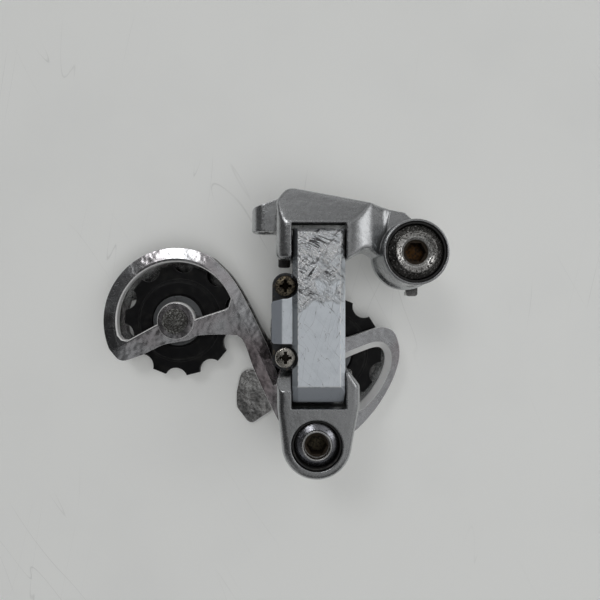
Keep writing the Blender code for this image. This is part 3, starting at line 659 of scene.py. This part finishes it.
def link_facet_shade_and_wear(surface):
    """The block darker, painted shade on the left bevel and the foot, and bright wear along the creases."""
    block = surface.along("X", -43.5, -43.8)
    surface.tint(block, (0.33, 0.36, 0.41), 0.85)
    # painted shade: the left bevel, which faces away from the light, much darker
    bevel = surface.along("X", LINK_LEFT - 0.1, LINK_LEFT + 0.1)
    bevel = surface.times(bevel, surface.along("X", LEFT_CREASE + 0.1, LEFT_CREASE - 0.2))
    surface.tint(bevel, (0.17, 0.19, 0.21), 0.85)
    # painted shade: the foot's bevel darker
    foot = surface.along("Y", LINK_FOOT + 0.1, LINK_FOOT - 0.3)
    surface.tint(foot, (0.40, 0.43, 0.47), 0.75)
    above_foot = surface.along("Y", LINK_FOOT - 0.3, LINK_FOOT - 0.1)
    half_face = (RIGHT_CREASE - LEFT_CREASE) / 2
    between = band(surface, "X", LEFT_CREASE + half_face, half_face + 0.1, 0.2)
    for name, crease, reach in (
        ("X", LEFT_CREASE, above_foot),
        ("X", RIGHT_CREASE, above_foot),
        ("Y", LINK_FOOT - 0.1, between),
    ):
        line = surface.times(band(surface, name, crease, 0.12, 0.1), reach)
        line = surface.times(line, surface.patches(0.6, 0.47, detail=5))
        surface.tint(line, (0.96, 0.97, 0.98), 0.9)


def link_grime_and_shade(surface):
    """Black oil and painted shade on the ledge round the screws, with brown dirt on it, and painted shade in
    every corner.
    """
    # painted shade and black oil: the ledge round the screws near black
    left = surface.along("X", LINK_LEFT - 0.1, LINK_LEFT - 0.5)
    ledge = surface.times(left, surface.along("Z", SEAT_Z + 0.9, SEAT_Z + 0.4))
    surface.tint(ledge, (0.02, 0.021, 0.023), 0.95)
    grime = surface.times(ledge, surface.patches(0.9, 0.6, detail=6))
    surface.tint(grime, (0.15, 0.12, 0.08), 0.6)
    # painted shade in every corner
    surface.tint(surface.crevices(2.5), (0.03, 0.03, 0.03), 0.9)


def link_lacquer():
    """Silver-grey lacquer: scraped through to metal near the bracket, with black oil and painted shade round
    the screws.
    """
    surface = Surface("link_lacquer", (0.80, 0.85, 0.90), 0.42, 0.55)
    surface.tint(surface.patches(0.3, 0.57, 0.13, detail=5), (0.66, 0.71, 0.76), 0.5)
    link_scrapes(surface)
    link_marks(surface)
    link_facet_shade_and_wear(surface)
    link_grime_and_shade(surface)
    return surface.done()


def table_top():
    """Pale laminate with faint scuffs."""
    surface = Surface("table_top", (0.95, 0.96, 0.94), 0.7, 0.0)
    surface.tint(surface.patches(0.012, 0.55, 0.15), (0.89, 0.90, 0.885), 0.5)
    for turn in (12, -30):
        scuff = surface.lines(0.035, (0, turn), 0.0012)
        scuff = surface.times(scuff, surface.patches(0.02, 0.58, detail=2))
        surface.tint(scuff, (0.66, 0.67, 0.655), 0.5)
    surface.raise_by(surface.noise(1.2, 3), 0.006)
    return surface.done()


# ---------------------------------------------------------------- bolts and small turned pieces


def hex_socket(middle, bottom, top):
    return prism("cutter", regular(middle, HEX_RADIUS, 6), bottom, top)


def screw_thread(middle, root, crest, start, pitch, turns, steps=40):
    """A helical ridge of triangular section, which fades at its ends."""
    rings = []
    for step in range(turns * steps + 1):
        angle = 2 * math.pi * step / steps
        height = start + pitch * step / steps
        fade = min(1, step / steps, (turns * steps - step) / steps)
        peak = root + (crest - root) * fade
        section = ((root - 0.3, -0.42), (root - 0.3, 0.42), (peak, 0.06), (peak, -0.06))
        along = Vector((math.cos(angle), math.sin(angle)))
        at = [(middle[0] + along.x * r, middle[1] + along.y * r, height + rise) for r, rise in section]
        rings.append([in_frame(*point) for point in at])
    return skin("thread", rings)


def mounting_bolt():
    """Bolt, axle and head in one, with a dished hexagonal socket."""
    foot, top = heights("mounting_bolt")
    shank = [(0, foot, 0), (3.9, foot, 0), (4.5, foot + 0.8, 0), (4.5, -0.6, 0), (5.0, -0.4, 0)]
    head = [(5.0, top - 3.3, 0), (9.0, top - 3.3, 0.2), (9.0, top - 1.5, 0.5), (6.6, top, 0.7)]
    dish = [(4.7, top - 0.7, 0.5), (3.8, top - 1.8, 0.2), (0, top - 1.8, 0)]
    bolt = turned("mounting_bolt_fine", rounded(shank + head + dish), BOLT_AXIS)
    return cut(bolt, hex_socket(BOLT_AXIS, top - 6.5, top + 1))


def cage_axle_bolt():
    """The cage's axle: its conical head carries a thin raised ring round the socket."""
    foot, top = heights("cage_axle_bolt")
    shank = [(0, foot, 0), (4.1, foot, 0), (4.1, top - 4.3, 0), (7.4, top - 4.3, 0.2)]
    cone = [(7.4, top - 2.0, 0.4), (5.1, top - 0.7, 0.1), (4.95, top, 0.2), (4.4, top, 0.2)]
    dish = [(4.1, top - 1.5, 0.2), (0, top - 1.5, 0)]
    bolt = turned("cage_axle_bolt_fine", rounded(shank + cone + dish), KNUCKLE_AXIS)
    return cut(bolt, hex_socket(KNUCKLE_AXIS, top - 7.3, top + 1))


def socket_dirt(name, middle, level):
    """Grime that fills the foot of a key socket."""
    return layered(name, regular(middle, HEX_RADIUS - 0.05, 6), [(0, level - 1.0), (-0.1, level)])


def pulley_bolt(node):
    """Domed bolt from the outer plate to the inner one."""
    foot, top = heights(node)
    seat = low("cage_outer_plate", "Z") + 3.7
    rise = top - seat
    dome = [(4.7, seat + rise * 0.45, 0.4), (3.4, seat + rise * 0.88, 2.0), (0, top, 0)]
    shank = [(0, foot, 0), (2.4, foot, 0), (2.4, seat, 0), (4.7, seat, 0)]
    return turned(node + "_fine", rounded(shank + dome), centre(node))


def ring_of(node, inner, edge=0.12):
    """A plain turned ring with softened rims, as wide and high as a node."""
    outer = (high(node, "X") - low(node, "X")) / 2
    bottom, top = heights(node)
    section = [(inner, bottom, edge), (outer, bottom, edge), (outer, top, edge), (inner, top, edge)]
    return turned(node + "_fine", rounded(section, 3), centre(node))


def limit_screw(node):
    """Cross-head screw in the link's ledge."""
    middle = centre(node)
    tip, top = heights(node)
    shank = [(0, tip, 0), (1.4, tip, 0), (1.9, tip + 0.7, 0), (1.9, top - 2.2, 0)]
    head = [(3.5, top - 2.2, 0.1), (3.5, top - 0.5, 0.7), (0, top, 0)]
    screw = turned(node + "_fine", rounded(shank + head), middle, segments=64)
    for long, wide in ((2.1, 0.55), (0.55, 2.1), (1.05, 1.05)):
        x, y = middle
        slot = [(x - long, y - wide), (x + long, y - wide), (x + long, y + wide), (x - long, y + wide)]
        deep = [(-0.12, top - 1.4), (0.05, top + 1)]
        cut(screw, layered("cutter", slot, deep))
    return screw


# ---------------------------------------------------------------- bracket


def pin_bore(middle):
    """Room for a parallelogram pin: open on the left, blind on the right."""
    return cylinder(middle, 2.2, -60, high("upper_outer_pin", "X") + 0.4, "X", 40)


def cable_stop():
    """Tapered lug on the bracket's left, round at its outer side."""
    back = [(-44.0, 19.5, 0), (-50.5, 17.3, 0.6), (-54.6, 16.2, 2.2)]
    side = rounded([(-44.0, 8.0, 0), *back, (-54.6, 8.0, 0.8)])
    level, x = centre("cable_adjuster_barrel", "ZX")
    lug = prism("lug", side, level - 5.0, level + 5.0)
    root = [(level - 5, x), (level + 5, x), (level + 5, -40.0), (level - 5, -40.0)]
    section = cylinder((level, x), 5.0, 2.0, 30.0, "Y")
    return keep_inside(lug, join(section, prism("root", root, 2.4, 29.6, "Y")))


def barrel():
    """The bracket's round part, solid, with a flange at its foot and a thin bright rim."""
    base, rim = low("bracket_spring", "Z") - 3.6, high("bracket_seal_ring", "Z") + 0.4
    wall = [(0, base, 0), (12.0, base, 0.5), (12.0, 6.0, 0.6), (11.2, 7.6, 0.8)]
    return turned("barrel", rounded([*wall, (10.8, rim, 0.35), (0, rim, 0)]), BOLT_AXIS, segments=128)


def bracket_arms():
    """The two arms and the neck that falls away to the barrel, with cast, well rounded edges."""
    left, foot, top = low("knuckle_body", "X") - 0.4, low("bracket_body", "Z"), LINK_FACE
    ends = [(left, -2.1, 1.8), (SLOT[0] + 0.2, -2.1, 0.8), (-38.0, 3.0, 0), (-26.0, 3.0, 0)]
    neck = [(SLOT[1] - 0.2, -2.8, 0.8), (-15.6, 1.7, 3.0), (-10.5, -2.0, 1.0), (-8.9, 6.5, 0)]
    back = [(-6.9, 15.0, 1.2), (-42.0, 22.2, 4.0), (left, 17.0, 5.0)]
    arms = prism("bracket_body_fine", rounded(ends + neck + back, 10), foot, top, edge=0.7)
    fall = smooth([(22.4, -24.0), (21.5, -19.0), (19.6, -14.5), (17.0, -11.0), (15.6, -8.0), (15.0, 2.0)])
    cut(arms, prism("cutter", [*fall, (15.0, 2.0), (30.0, 2.0), (30.0, -24.0)], -9.0, 20.0, "Y"))
    cut(arms, prism("cutter", [(9.0, 22.2), (30.0, 14.4), (30.0, 30.0), (9.0, 30.0)], -60, 20, "X"))
    cut(arms, prism("cutter", [(-20.0, -8), (20, -8), (20, 30), (-20, 30)], foot - 1, 3.0))
    cut(arms, moulding([(left, 24), (left, -4)], round_over(4.4, top)))
    return worn_down(arms, 0.28, 60)


def bracket_body():
    """The upper knuckle: arms, barrel and cable stop, with the links' pocket and all its bores."""
    body = join(bracket_arms(), barrel(), cable_stop())
    web = [(-11.8, 4.1), (0.6, 1.2), (0.6, 11.1), (-2.4, 13.8), (-9.8, 15.3)]
    join(body, prism("web", web, 4.1, 15.1))
    foot, top = low("bracket_body", "Z"), LINK_FACE
    pocket = [(SLOT[0], -9), (SLOT[1], -9), (SLOT[1], 10.4), (SLOT[0], 10.4)]
    upper_pocket = [(x, min(y, 9.4)) for x, y in pocket]
    cut(body, prism("cutter", pocket, foot - 1, 16.0), prism("cutter", upper_pocket, 10.0, top + 1))
    bore = [(0, 0), (6.6, 0), (6.6, 5.2), (8.7, 5.2), (8.7, 18.0), (10.0, 18.0), (10.0, 24), (0, 24)]
    cut(body, turned("cutter", bore, BOLT_AXIS))
    level, x = centre("cable_adjuster_barrel", "ZX")
    cut(body, cylinder((level, x), 2.9, 0.0, 30.0, "Y"), pin_bore(UPPER_PIN), pin_bore(INNER_PINS[0]))
    level, x = centre("limit_stop_dowel", "ZX")
    cut(body, cylinder((level, x), 2.3, -10, 4.3, "Y"))
    return worn_down(body, 0.2, 4)


# ---------------------------------------------------------------- outer link


def outer_link():
    """Deep channel with its open side down, a sunk ledge for the screws and a raised block."""
    face, left, right = LINK_FACE, LINK_LEFT, LINK_RIGHT
    far = [*arc(LOWER_PIN, 4.6, 160, 270, 16), *arc(UPPER_PIN, 5.2, 270, 360, 16)]
    side = [(6.4, face), (LINK_FOOT, face), (-49.7, face - 5.4), *far, (7.7, face - 1.6)]
    link = prism("outer_link_fine", side, left, right, "X")
    across = [(5.0, left - 0.01), (5.0, right + 0.01), (face - 2.1, right + 0.01)]
    across += [(face + 0.1, RIGHT_CREASE), (face + 0.1, LEFT_CREASE), (face - 2.3, left - 0.01)]
    keep_inside(link, prism("section", across, -60, 20, "Y"))
    inside = [(5.2, 5.0), (5.2, 19.6), (-42.8, 19.6), (-46.8, 16.0), (-46.8, 5.0)]
    cut(link, prism("cutter", inside, left + 3.2, right - 2.0, "X"))
    (x, high_y), (_, low_y) = SCREWS["high_limit_screw"], SCREWS["low_limit_screw"]
    ends = [*arc((x, high_y), 4.5, 60, 180), *arc((x, low_y), 4.5, 180, 300)]
    ledge = prism("ledge", [*ends, (left + 0.8, low_y - 2), (left + 0.8, high_y + 2)], 11.0, SEAT_Z)
    block = rounded([(-47.1, -30.0, 1.0), (-39.0, -30.0, 0), (-39.0, -14.2, 0), (-47.1, -16.2, 1.0)])
    block = prism("block", block, 11.0, 20.0)
    cut(block, prism("cutter", [(18.3, -48), (20.0, -43.4), (22, -43.4), (22, -48)], -60, 0, "Y"))
    join(link, ledge, block)
    heel = [(-12.0, 10.0), (-5.0, 15.6), (-5.0, 10.0)]
    cut(link, prism("cutter", heel, -50.0, left - 0.1, "X"))
    for middle in SCREWS.values():
        cut(link, cylinder(middle, 4.2, SEAT_Z, 24.0), cylinder(middle, 2.2, 8.0, 24.0))
    cut(link, pin_bore(UPPER_PIN), pin_bore(LOWER_PIN))
    return worn_down(link, 0.16, 3)


# ---------------------------------------------------------------- knuckle


def knuckle_blank():
    """The knuckle before its bores: a barrel and two arms with well rounded outer edges."""
    left = low("knuckle_body", "X")
    foot, top = heights("knuckle_body")
    arms = [(left, -40.6, 1.6), (-39.6, -40.6, 0), (-30.0, -39.0, 0), (-21.6, -39.0, 1.0)]
    arms += [(-18.0, -43.6, 1.5), (-18.0, -50.0, 6.0), (-20.6, -63.2, 0), (left, -50.0, 0)]
    shoulder = rounded(arms, 10)[:-2]
    outline = [*shoulder, *arc(KNUCKLE_AXIS, 11.6, 0, -180, 64), (left, -50.0)]
    blank = prism("knuckle_body_fine", outline, foot, top, edge=0.7)
    under = [(-50, -46.5), (-10, -46.5), (-10, -30), (-50, -30)]
    cut(blank, prism("cutter", under, foot - 1, -2.2))
    slope = [(-46.0, 21.0), (-40.0, 15.5), (-38.0, 15.5), (-38.0, 21.0)]
    cut(blank, prism("cutter", slope, -50, SLOT[0] + 1, "X"))
    right_side = [(-18.0, -50.0), (-18.0, -43.6), (-21.6, -38.0)]
    rim = [(left, -38.0), (left, -52.0), *arc(KNUCKLE_AXIS, 11.6, 190, 350, 64), *right_side]
    cut(blank, moulding(rim, round_over(2.4, top)))
    return worn_down(blank, 0.28, 12)


def knuckle_body():
    """The lower knuckle, with the links' pocket, the bores and the groove for the cage's stop pin."""
    body = knuckle_blank()
    foot, top = heights("knuckle_body")
    pocket = [(SLOT[0], -51.2), (SLOT[1], -51.2), (SLOT[1], -30), (SLOT[0], -30)]
    cut(body, prism("cutter", pocket, foot - 1, top + 1))
    bore = [(0, -10), (4.8, -10), (4.8, -0.6), (7.0, -0.6), (7.0, 15.7), (8.4, 15.7), (8.4, 24), (0, 24)]
    cut(body, turned("cutter", bore, KNUCKLE_AXIS))
    groove = arc(KNUCKLE_AXIS, 6.5, 190, 310) + arc(KNUCKLE_AXIS, 9.9, 310, 190)
    cut(body, prism("cutter", groove, foot - 1, -2.0))
    cut(body, pin_bore(LOWER_PIN), pin_bore(INNER_PINS[1]))
    return worn_down(body, 0.2, 4)


# ---------------------------------------------------------------- cage


def around(middle, points):
    return [(middle[0] + a, middle[1] + b) for a, b in points]


def pulley_window(cover=0.0):
    """The D-shaped window above the tension pulley's spokes; cover makes it smaller over the top."""
    right_foot = around(TENSION_AXIS, [(20.0 - cover, 5.2), (18.9 - cover, 4.5)])
    left_foot = around(TENSION_AXIS, [(-18.4, -7.4), (-20.6, -7.0), (-22.0, -5.4)])
    left_side = arc(TENSION_AXIS, WINDOW_RADIUS, 188, 160, 16)
    over = arc(TENSION_AXIS, WINDOW_RADIUS - cover, 152 if cover else 158, 22, 64)
    return [*left_side, *over, *right_foot, *arc(TENSION_AXIS, HUB_RADIUS, 6, 190, 32), *left_foot]


def spokes_edge():
    """The spokes' lower edge, from the arm to the ring's tip."""
    right = [(23.3, -5.6), (16.0, -5.3), (8.2, -5.7), (4.6, -7.4), (0.0, -8.3)]
    left = [(-5.5, -9.4), (-13.2, -13.0), (-19.0, -15.1)]
    return smooth(around(TENSION_AXIS, right + left))


def arm_edge():
    """The arm's outer edge, from the ring to the boss."""
    return smooth(around(TENSION_AXIS, [(15.4, 22.6), (19.6, 18.4), (23.7, 12.6), (27.8, 5.0), (32.0, -3.6)]))


def tension_side():
    """From the spokes' lower edge, over the ring, to the arm's outer edge."""
    tip = arc(around(TENSION_AXIS, [(-20.4, -11.9)])[0], 3.4, 295, 215, 12)
    return [*spokes_edge(), *tip, *arc(TENSION_AXIS, RING_RADIUS - 0.03, 203, 62, 80), *arm_edge()]


def outer_plate_outline():
    """Ring, arm and boss of the outer plate, with the loop that reaches round the guide pulley."""
    above = [(-46.6, -44.0), (-41.5, -48.5), (-35.5, -46.0), (-34.4, -38.0), (-32.2, -32.2)]
    above += [(-27.0, -30.4), (-19.7, -29.9), (-11.4, -27.2), (-6.4, -25.9), (-1.8, -27.6)]
    below = [(0.2, -33.0), (0.1, -39.0), (-2.6, -46.9), (-7.6, -55.6), (-14.0, -63.2), (-20.6, -69.0)]
    arm = [(-46.4, -61.0), (-50.6, -52.6), (-55.2, -42.6), (-58.6, -33.0), (-60.4, -30.0)]
    boss = arc(KNUCKLE_AXIS, 11.0, -35, -150)
    return [*tension_side(), (-49.7, -34.4), *smooth(above + below), *boss, *smooth(arm)]


def inner_plate_outline():
    """The inner plate follows the ring, carries the guide pulley, and ends in a chain paddle."""
    above = [(-50.6, -31.0), (-46.0, -34.0), (-38.0, -32.0), (-30.0, -29.5), (-20.0, -31.5)]
    above += [(-11.0, -29.4), (-5.0, -29.0), (-2.2, -33.5), (-2.4, -40.0), (-5.0, -47.0)]
    below = [(-10.0, -55.0), (-17.0, -60.0), (-28.0, -57.0), (-38.0, -54.5), (-45.0, -57.5)]
    paddle = [(-49.0, -60.2, 1.0), (-57.9, -66.2, 2.5), (-63.4, -59.0, 3.5), (-63.4, -53.0, 2.0)]
    guide = smooth(above + below)
    return [*tension_side(), *guide, *rounded([*paddle, (-59.4, -34.4, 4.0)]), (-60.3, -30.6)]


def loop_window():
    """The opening beside the guide pulley, in the outer plate's loop."""
    top = [(-22.0, -39.0), (-16.3, -36.4), (-9.4, -33.9), (-6.4, -34.2), (-5.0, -37.0), (-5.6, -41.7)]
    bottom = [(-8.3, -47.5), (-12.2, -52.8), (-16.5, -56.0), (-21.5, -53.0), (-22.6, -46.0), (-22.0, -39.0)]
    return smooth(top + bottom)


def cage_outer_plate():
    """The alloy plate: a ring that falls away outwards, ribbed spokes and a bevelled loop."""
    foot, top = low("cage_outer_plate", "Z"), low("cage_outer_plate", "Z") + 3.0
    plate = prism("cage_outer_plate_fine", outer_plate_outline(), foot, top, edge=0.35)
    hidden = around(TENSION_AXIS, [(41.0, -23.0), (36.2, -12.4)])
    rim = [*hidden, *reversed(arm_edge()), *arc(TENSION_AXIS, RING_RADIUS, 62, 214, 90)]
    cut(plate, moulding(rim, [(-4.1, top - 0.05), (1, top - 1.2), (1, top + 1), (-4.1, top + 1)]))
    fall = [(0.9, top - 0.05), (12.0, top - 2.6), (12.0, top + 1), (0.9, top + 1)]
    for spoke in ([(-27.0, -12.1), (0, 2.7)], [(0, -1.57), (19.0, 4.53)]):
        cut(plate, moulding(around(TENSION_AXIS, spoke), fall))
    for middle in (TENSION_AXIS, GUIDE_AXIS):
        seat = [(0, foot + 0.5, 0), (HUB_RADIUS - 0.3, foot + 0.5, 0), (HUB_RADIUS - 0.3, top + 0.5, 0.3)]
        join(plate, turned("seat", rounded([*seat, (0, top + 0.5, 0)]), middle))
        cut(plate, cylinder(middle, 2.7, -20, 0))
    flare = [(0, -20), (0, top - 0.45), (0.45, top + 0.02), (0.45, 0)]
    cut(plate, layered("cutter", pulley_window(), flare))
    bevel = [(0, -20), (0, top - 2.3), (2.3, top + 0.02), (2.3, 0)]
    cut(plate, layered("cutter", loop_window(), bevel))
    cut(plate, cylinder(KNUCKLE_AXIS, 4.35, -20, 0))
    return cut(plate, cylinder(centre("cage_stop_pin"), 1.35, -20, 0))


def cage_inner_plate():
    """The pressed steel plate on the wheel's side."""
    foot, top = heights("cage_inner_plate")
    plate = prism("cage_inner_plate_fine", inner_plate_outline(), foot, top, edge=0.3)
    cut(plate, prism("cutter", pulley_window(4.0), -20, 0))
    return cut(plate, cylinder(TENSION_AXIS, 2.65, -20, 0), cylinder(GUIDE_AXIS, 2.65, -20, 0))


def pulley(node):
    """Ten-tooth jockey wheel whose teeth taper to their tips."""
    middle = centre(node)
    teeth, tip, seat, seat_centre = 10, 21.9, 4.6, 23.4
    squares = seat_centre**2 + tip**2 - seat**2
    edge = math.acos(squares / (2 * seat_centre * tip))
    turn = math.degrees(math.asin(tip * math.sin(edge) / seat))
    outline = []
    for tooth in range(teeth):
        angle = 266 + 360 / teeth * tooth
        dip = arc(middle, seat_centre, angle, angle, 1)[0]
        outline += arc(dip, seat, angle + 180 + turn, angle + 180 - turn, 16)
    disc = prism(node + "_fine", outline, PULLEY_Z - 1.3, PULLEY_Z + 1.3, edge=0.25)
    taper = [(0, 1.4), (18.6, 1.4), (22.1, 0.8)]
    lens = taper + [(r, -h) for r, h in reversed(taper)]
    keep_inside(disc, turned("lens", [(r, PULLEY_Z + h) for r, h in lens], middle))
    groove = [(9.2, 2.9, 0.2), (9.2, 2.2, 0.2), (10.2, 2.2, 0.2), (10.4, 2.9, 0.3)]
    upper = rounded([(0, 2.9, 0), *groove, (15.0, 2.9, 0.8), (16.4, 1.2, 0), (0, 0, 0)])[:-1]
    web = upper + [(r, -h) for r, h in reversed(upper)]
    join(disc, turned("web", [(r, PULLEY_Z + h) for r, h in web], middle))
    return cut(disc, cylinder(middle, 4.8, -20, 0))


# ---------------------------------------------------------------- the object


def kept(node, surface):
    """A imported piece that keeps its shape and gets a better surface."""
    shape = frame["nodes"][node]
    shape.data.materials.clear()
    shape.data.materials.append(surface)


def build():
    satin = cast_alloy()
    chrome = plated_steel()
    head = corroded_steel("broken_plating", 0.54, (0.62, 0.61, 0.59), 0.18, [(BOLT_AXIS, 4.2)], 6.4)
    dome = corroded_steel("dome_plating", 0.48, (0.45, 0.45, 0.43), 0.16)
    smoky = corroded_steel("smoky_plating", 0.62, (0.38, 0.385, 0.42), 0.2, [(KNUCKLE_AXIS, 4.1)])
    seat = high("low_limit_screw", "Z")
    rusty = corroded_steel("rusty_screw", 0.50, (0.30, 0.25, 0.17), 0.35, slot=seat)
    worn = corroded_steel("worn_screw", 0.60, (0.66, 0.63, 0.57), 0.22, slot=seat)
    dull = corroded_steel("dull_caps", 0.60, (0.26, 0.27, 0.28), 0.3)
    grime = corroded_steel("rusty_grime", 0.52, (0.16, 0.075, 0.02), 0.6)
    dry_grime = corroded_steel("dry_grime", 0.52, (0.13, 0.11, 0.07), 0.65)
    plastic, rubber = moulded_plastic(), seal_rubber()
    wire, bronze, polish = spring_wire(), bearing_bronze(), polished_alloy()

    finish_piece(mounting_bolt(), "mount", head, "worn_steel", "mounting_bolt")
    foot = low("mounting_bolt", "Z")
    thread = screw_thread(BOLT_AXIS, 4.5, 4.9, foot + 0.6, 1.0, 9)
    thread.name = "mounting_bolt_thread"
    finish_piece(thread, "mount", head, "worn_steel")
    dirt = socket_dirt("mounting_bolt_grime", BOLT_AXIS, high("mounting_bolt", "Z") - 4.6)
    finish_piece(dirt, "mount", grime, "worn_steel")

    finish_piece(bracket_body(), "bracket", satin, "satin_alloy", "bracket_body", sharp=0)
    seal = ring_of("bracket_seal_ring", 9.2)
    finish_piece(seal, "bracket", rubber, "seal_rubber", "bracket_seal_ring")
    finish_piece(outer_link(), "outer_arm", link_lacquer(), "satin_alloy", "outer_link", sharp=0)
    for node, surface in (("high_limit_screw", rusty), ("low_limit_screw", worn)):
        finish_piece(limit_screw(node), "outer_arm", surface, "worn_steel", node)

    finish_piece(knuckle_body(), "knuckle", satin, "satin_alloy", "knuckle_body", sharp=0)
    seal = ring_of("knuckle_seal_ring", 7.6)
    finish_piece(seal, "knuckle", rubber, "seal_rubber", "knuckle_seal_ring")

    finish_piece(cage_outer_plate(), "cage", polish, "polished_alloy", "cage_outer_plate")
    finish_piece(cage_inner_plate(), "cage", chrome, "plated_steel", "cage_inner_plate")
    finish_piece(cage_axle_bolt(), "cage", smoky, "worn_steel", "cage_axle_bolt")
    dirt = socket_dirt("cage_axle_bolt_grime", KNUCKLE_AXIS, high("cage_axle_bolt", "Z") - 4.8)
    finish_piece(dirt, "cage", dry_grime, "worn_steel")
    for which in ("guide", "tension"):
        bolt = which + "_pulley_bolt"
        finish_piece(pulley_bolt(bolt), "cage", dome, "worn_steel", bolt)
        wheel = which + "_pulley"
        finish_piece(pulley(wheel), which + "_wheel", plastic, "pulley_plastic", wheel)
        for cap in (which + "_cap_outer", which + "_cap_inner"):
            finish_piece(ring_of(cap, 2.7), "cage", dull, "plated_steel", cap)

    for node in ("hanger_stop_plate", "cable_adjuster_barrel", "cable_anchor_washer", "cage_stop_pin"):
        kept(node, chrome)
    for node in ("upper_outer_pin", "upper_inner_pin", "lower_outer_pin", "lower_inner_pin"):
        kept(node, chrome)
    for node in ("bracket_spring", "knuckle_spring", "return_spring"):
        kept(node, wire)
    for node in ("bracket_bushing", "cage_axle_bushing", "guide_pulley_bushing", "tension_pulley_bushing"):
        kept(node, bronze)
    kept("inner_link", satin)
    kept("cable_anchor_bolt", dome)
    kept("limit_stop_dowel", rubber)


# ---------------------------------------------------------------- studio


def softbox(name, direction, distance, size, power, mirrored=True):
    """A square area light that looks at the object from a direction, and that metal may mirror."""
    light = bpy.data.lights.new(name, "AREA")
    light.shape = "SQUARE"
    light.size = size
    light.energy = power
    shape = bpy.data.objects.new(name, light)
    bpy.context.scene.collection.objects.link(shape)
    towards = Vector(direction).normalized()
    shape.location = (CAD_BOX[0] + CAD_BOX[1]) / 2 + towards * distance
    shape.rotation_euler = (-towards).to_track_quat("-Z", "Y").to_euler()
    shape.visible_glossy = mirrored


def room():
    """An even room with some clutter in it, darker to the west and low in the south."""
    world = bpy.data.worlds.new("room")
    bpy.context.scene.world = world
    world.use_nodes = True
    tree = world.node_tree
    background = tree.nodes["Background"]
    direction = add_node(tree, "ShaderNodeTexCoord").outputs["Generated"]
    given = {"Vector": direction, "Scale": 5.0, "Detail": 3.0}
    clutter = add_node(tree, "ShaderNodeTexNoise", given).outputs[0]
    given = {"Value": clutter, "From Min": 0.35, "From Max": 0.65, "To Min": 0.03, "To Max": 0.56}
    total = add_node(tree, "ShaderNodeMapRange", given).outputs[0]
    for towards, reach, glow in (
        ((-0.73, 0.0, 0.68), 0.60, -0.36),
        ((-0.1, -0.5, 0.86), 0.94, -0.12),
        ((0.0, -1.0, 0.2), 0.50, -0.18),
    ):
        given = {0: direction, 1: Vector(towards).normalized()}
        dot = add_node(tree, "ShaderNodeVectorMath", given, operation="DOT_PRODUCT")
        given = {"Value": dot.outputs["Value"], "From Min": reach, "To Max": glow}
        lobe = add_node(tree, "ShaderNodeMapRange", given, interpolation_type="SMOOTHSTEP")
        total = add_node(tree, "ShaderNodeMath", {0: lobe.outputs[0], 1: total}).outputs[0]
    dimmest = 0.015
    total = add_node(tree, "ShaderNodeMath", {0: total, 1: dimmest}, operation="MAXIMUM").outputs[0]
    give(tree, background.inputs["Color"], (1, 1, 1))
    give(tree, background.inputs["Strength"], total)


def studio():
    """Table, lights and the camera that looks straight down from close by."""
    made = bmesh.new()
    bmesh.ops.create_grid(made, x_segments=1, y_segments=1, size=1.5)
    bmesh.ops.translate(made, verts=made.verts, vec=(0, 0, CAD_BOX[0].z - 0.05 * MM))
    table = new_object("table", made)
    table.data.materials.append(table_top())
    room()
    softbox("window_light", (-0.31, 0.52, 0.80), 1.1, 0.31, 1.15)
    softbox("east_light", (0.78, 0.22, 0.55), 0.9, 0.3, 0.35)
    softbox("ceiling", (0.2, -0.2, 1.0), 1.2, 1.2, 5.2, mirrored=False)
    scene = bpy.context.scene
    camera = bpy.data.objects.new("camera", bpy.data.cameras.new("camera"))
    scene.collection.objects.link(camera)
    camera.location = (-0.0377, -0.0156, 0.177)
    camera.data.lens = 27.06
    camera.data.clip_start = MM
    scene.camera = camera
    scene.view_settings.view_transform = "Standard"


build()
studio()
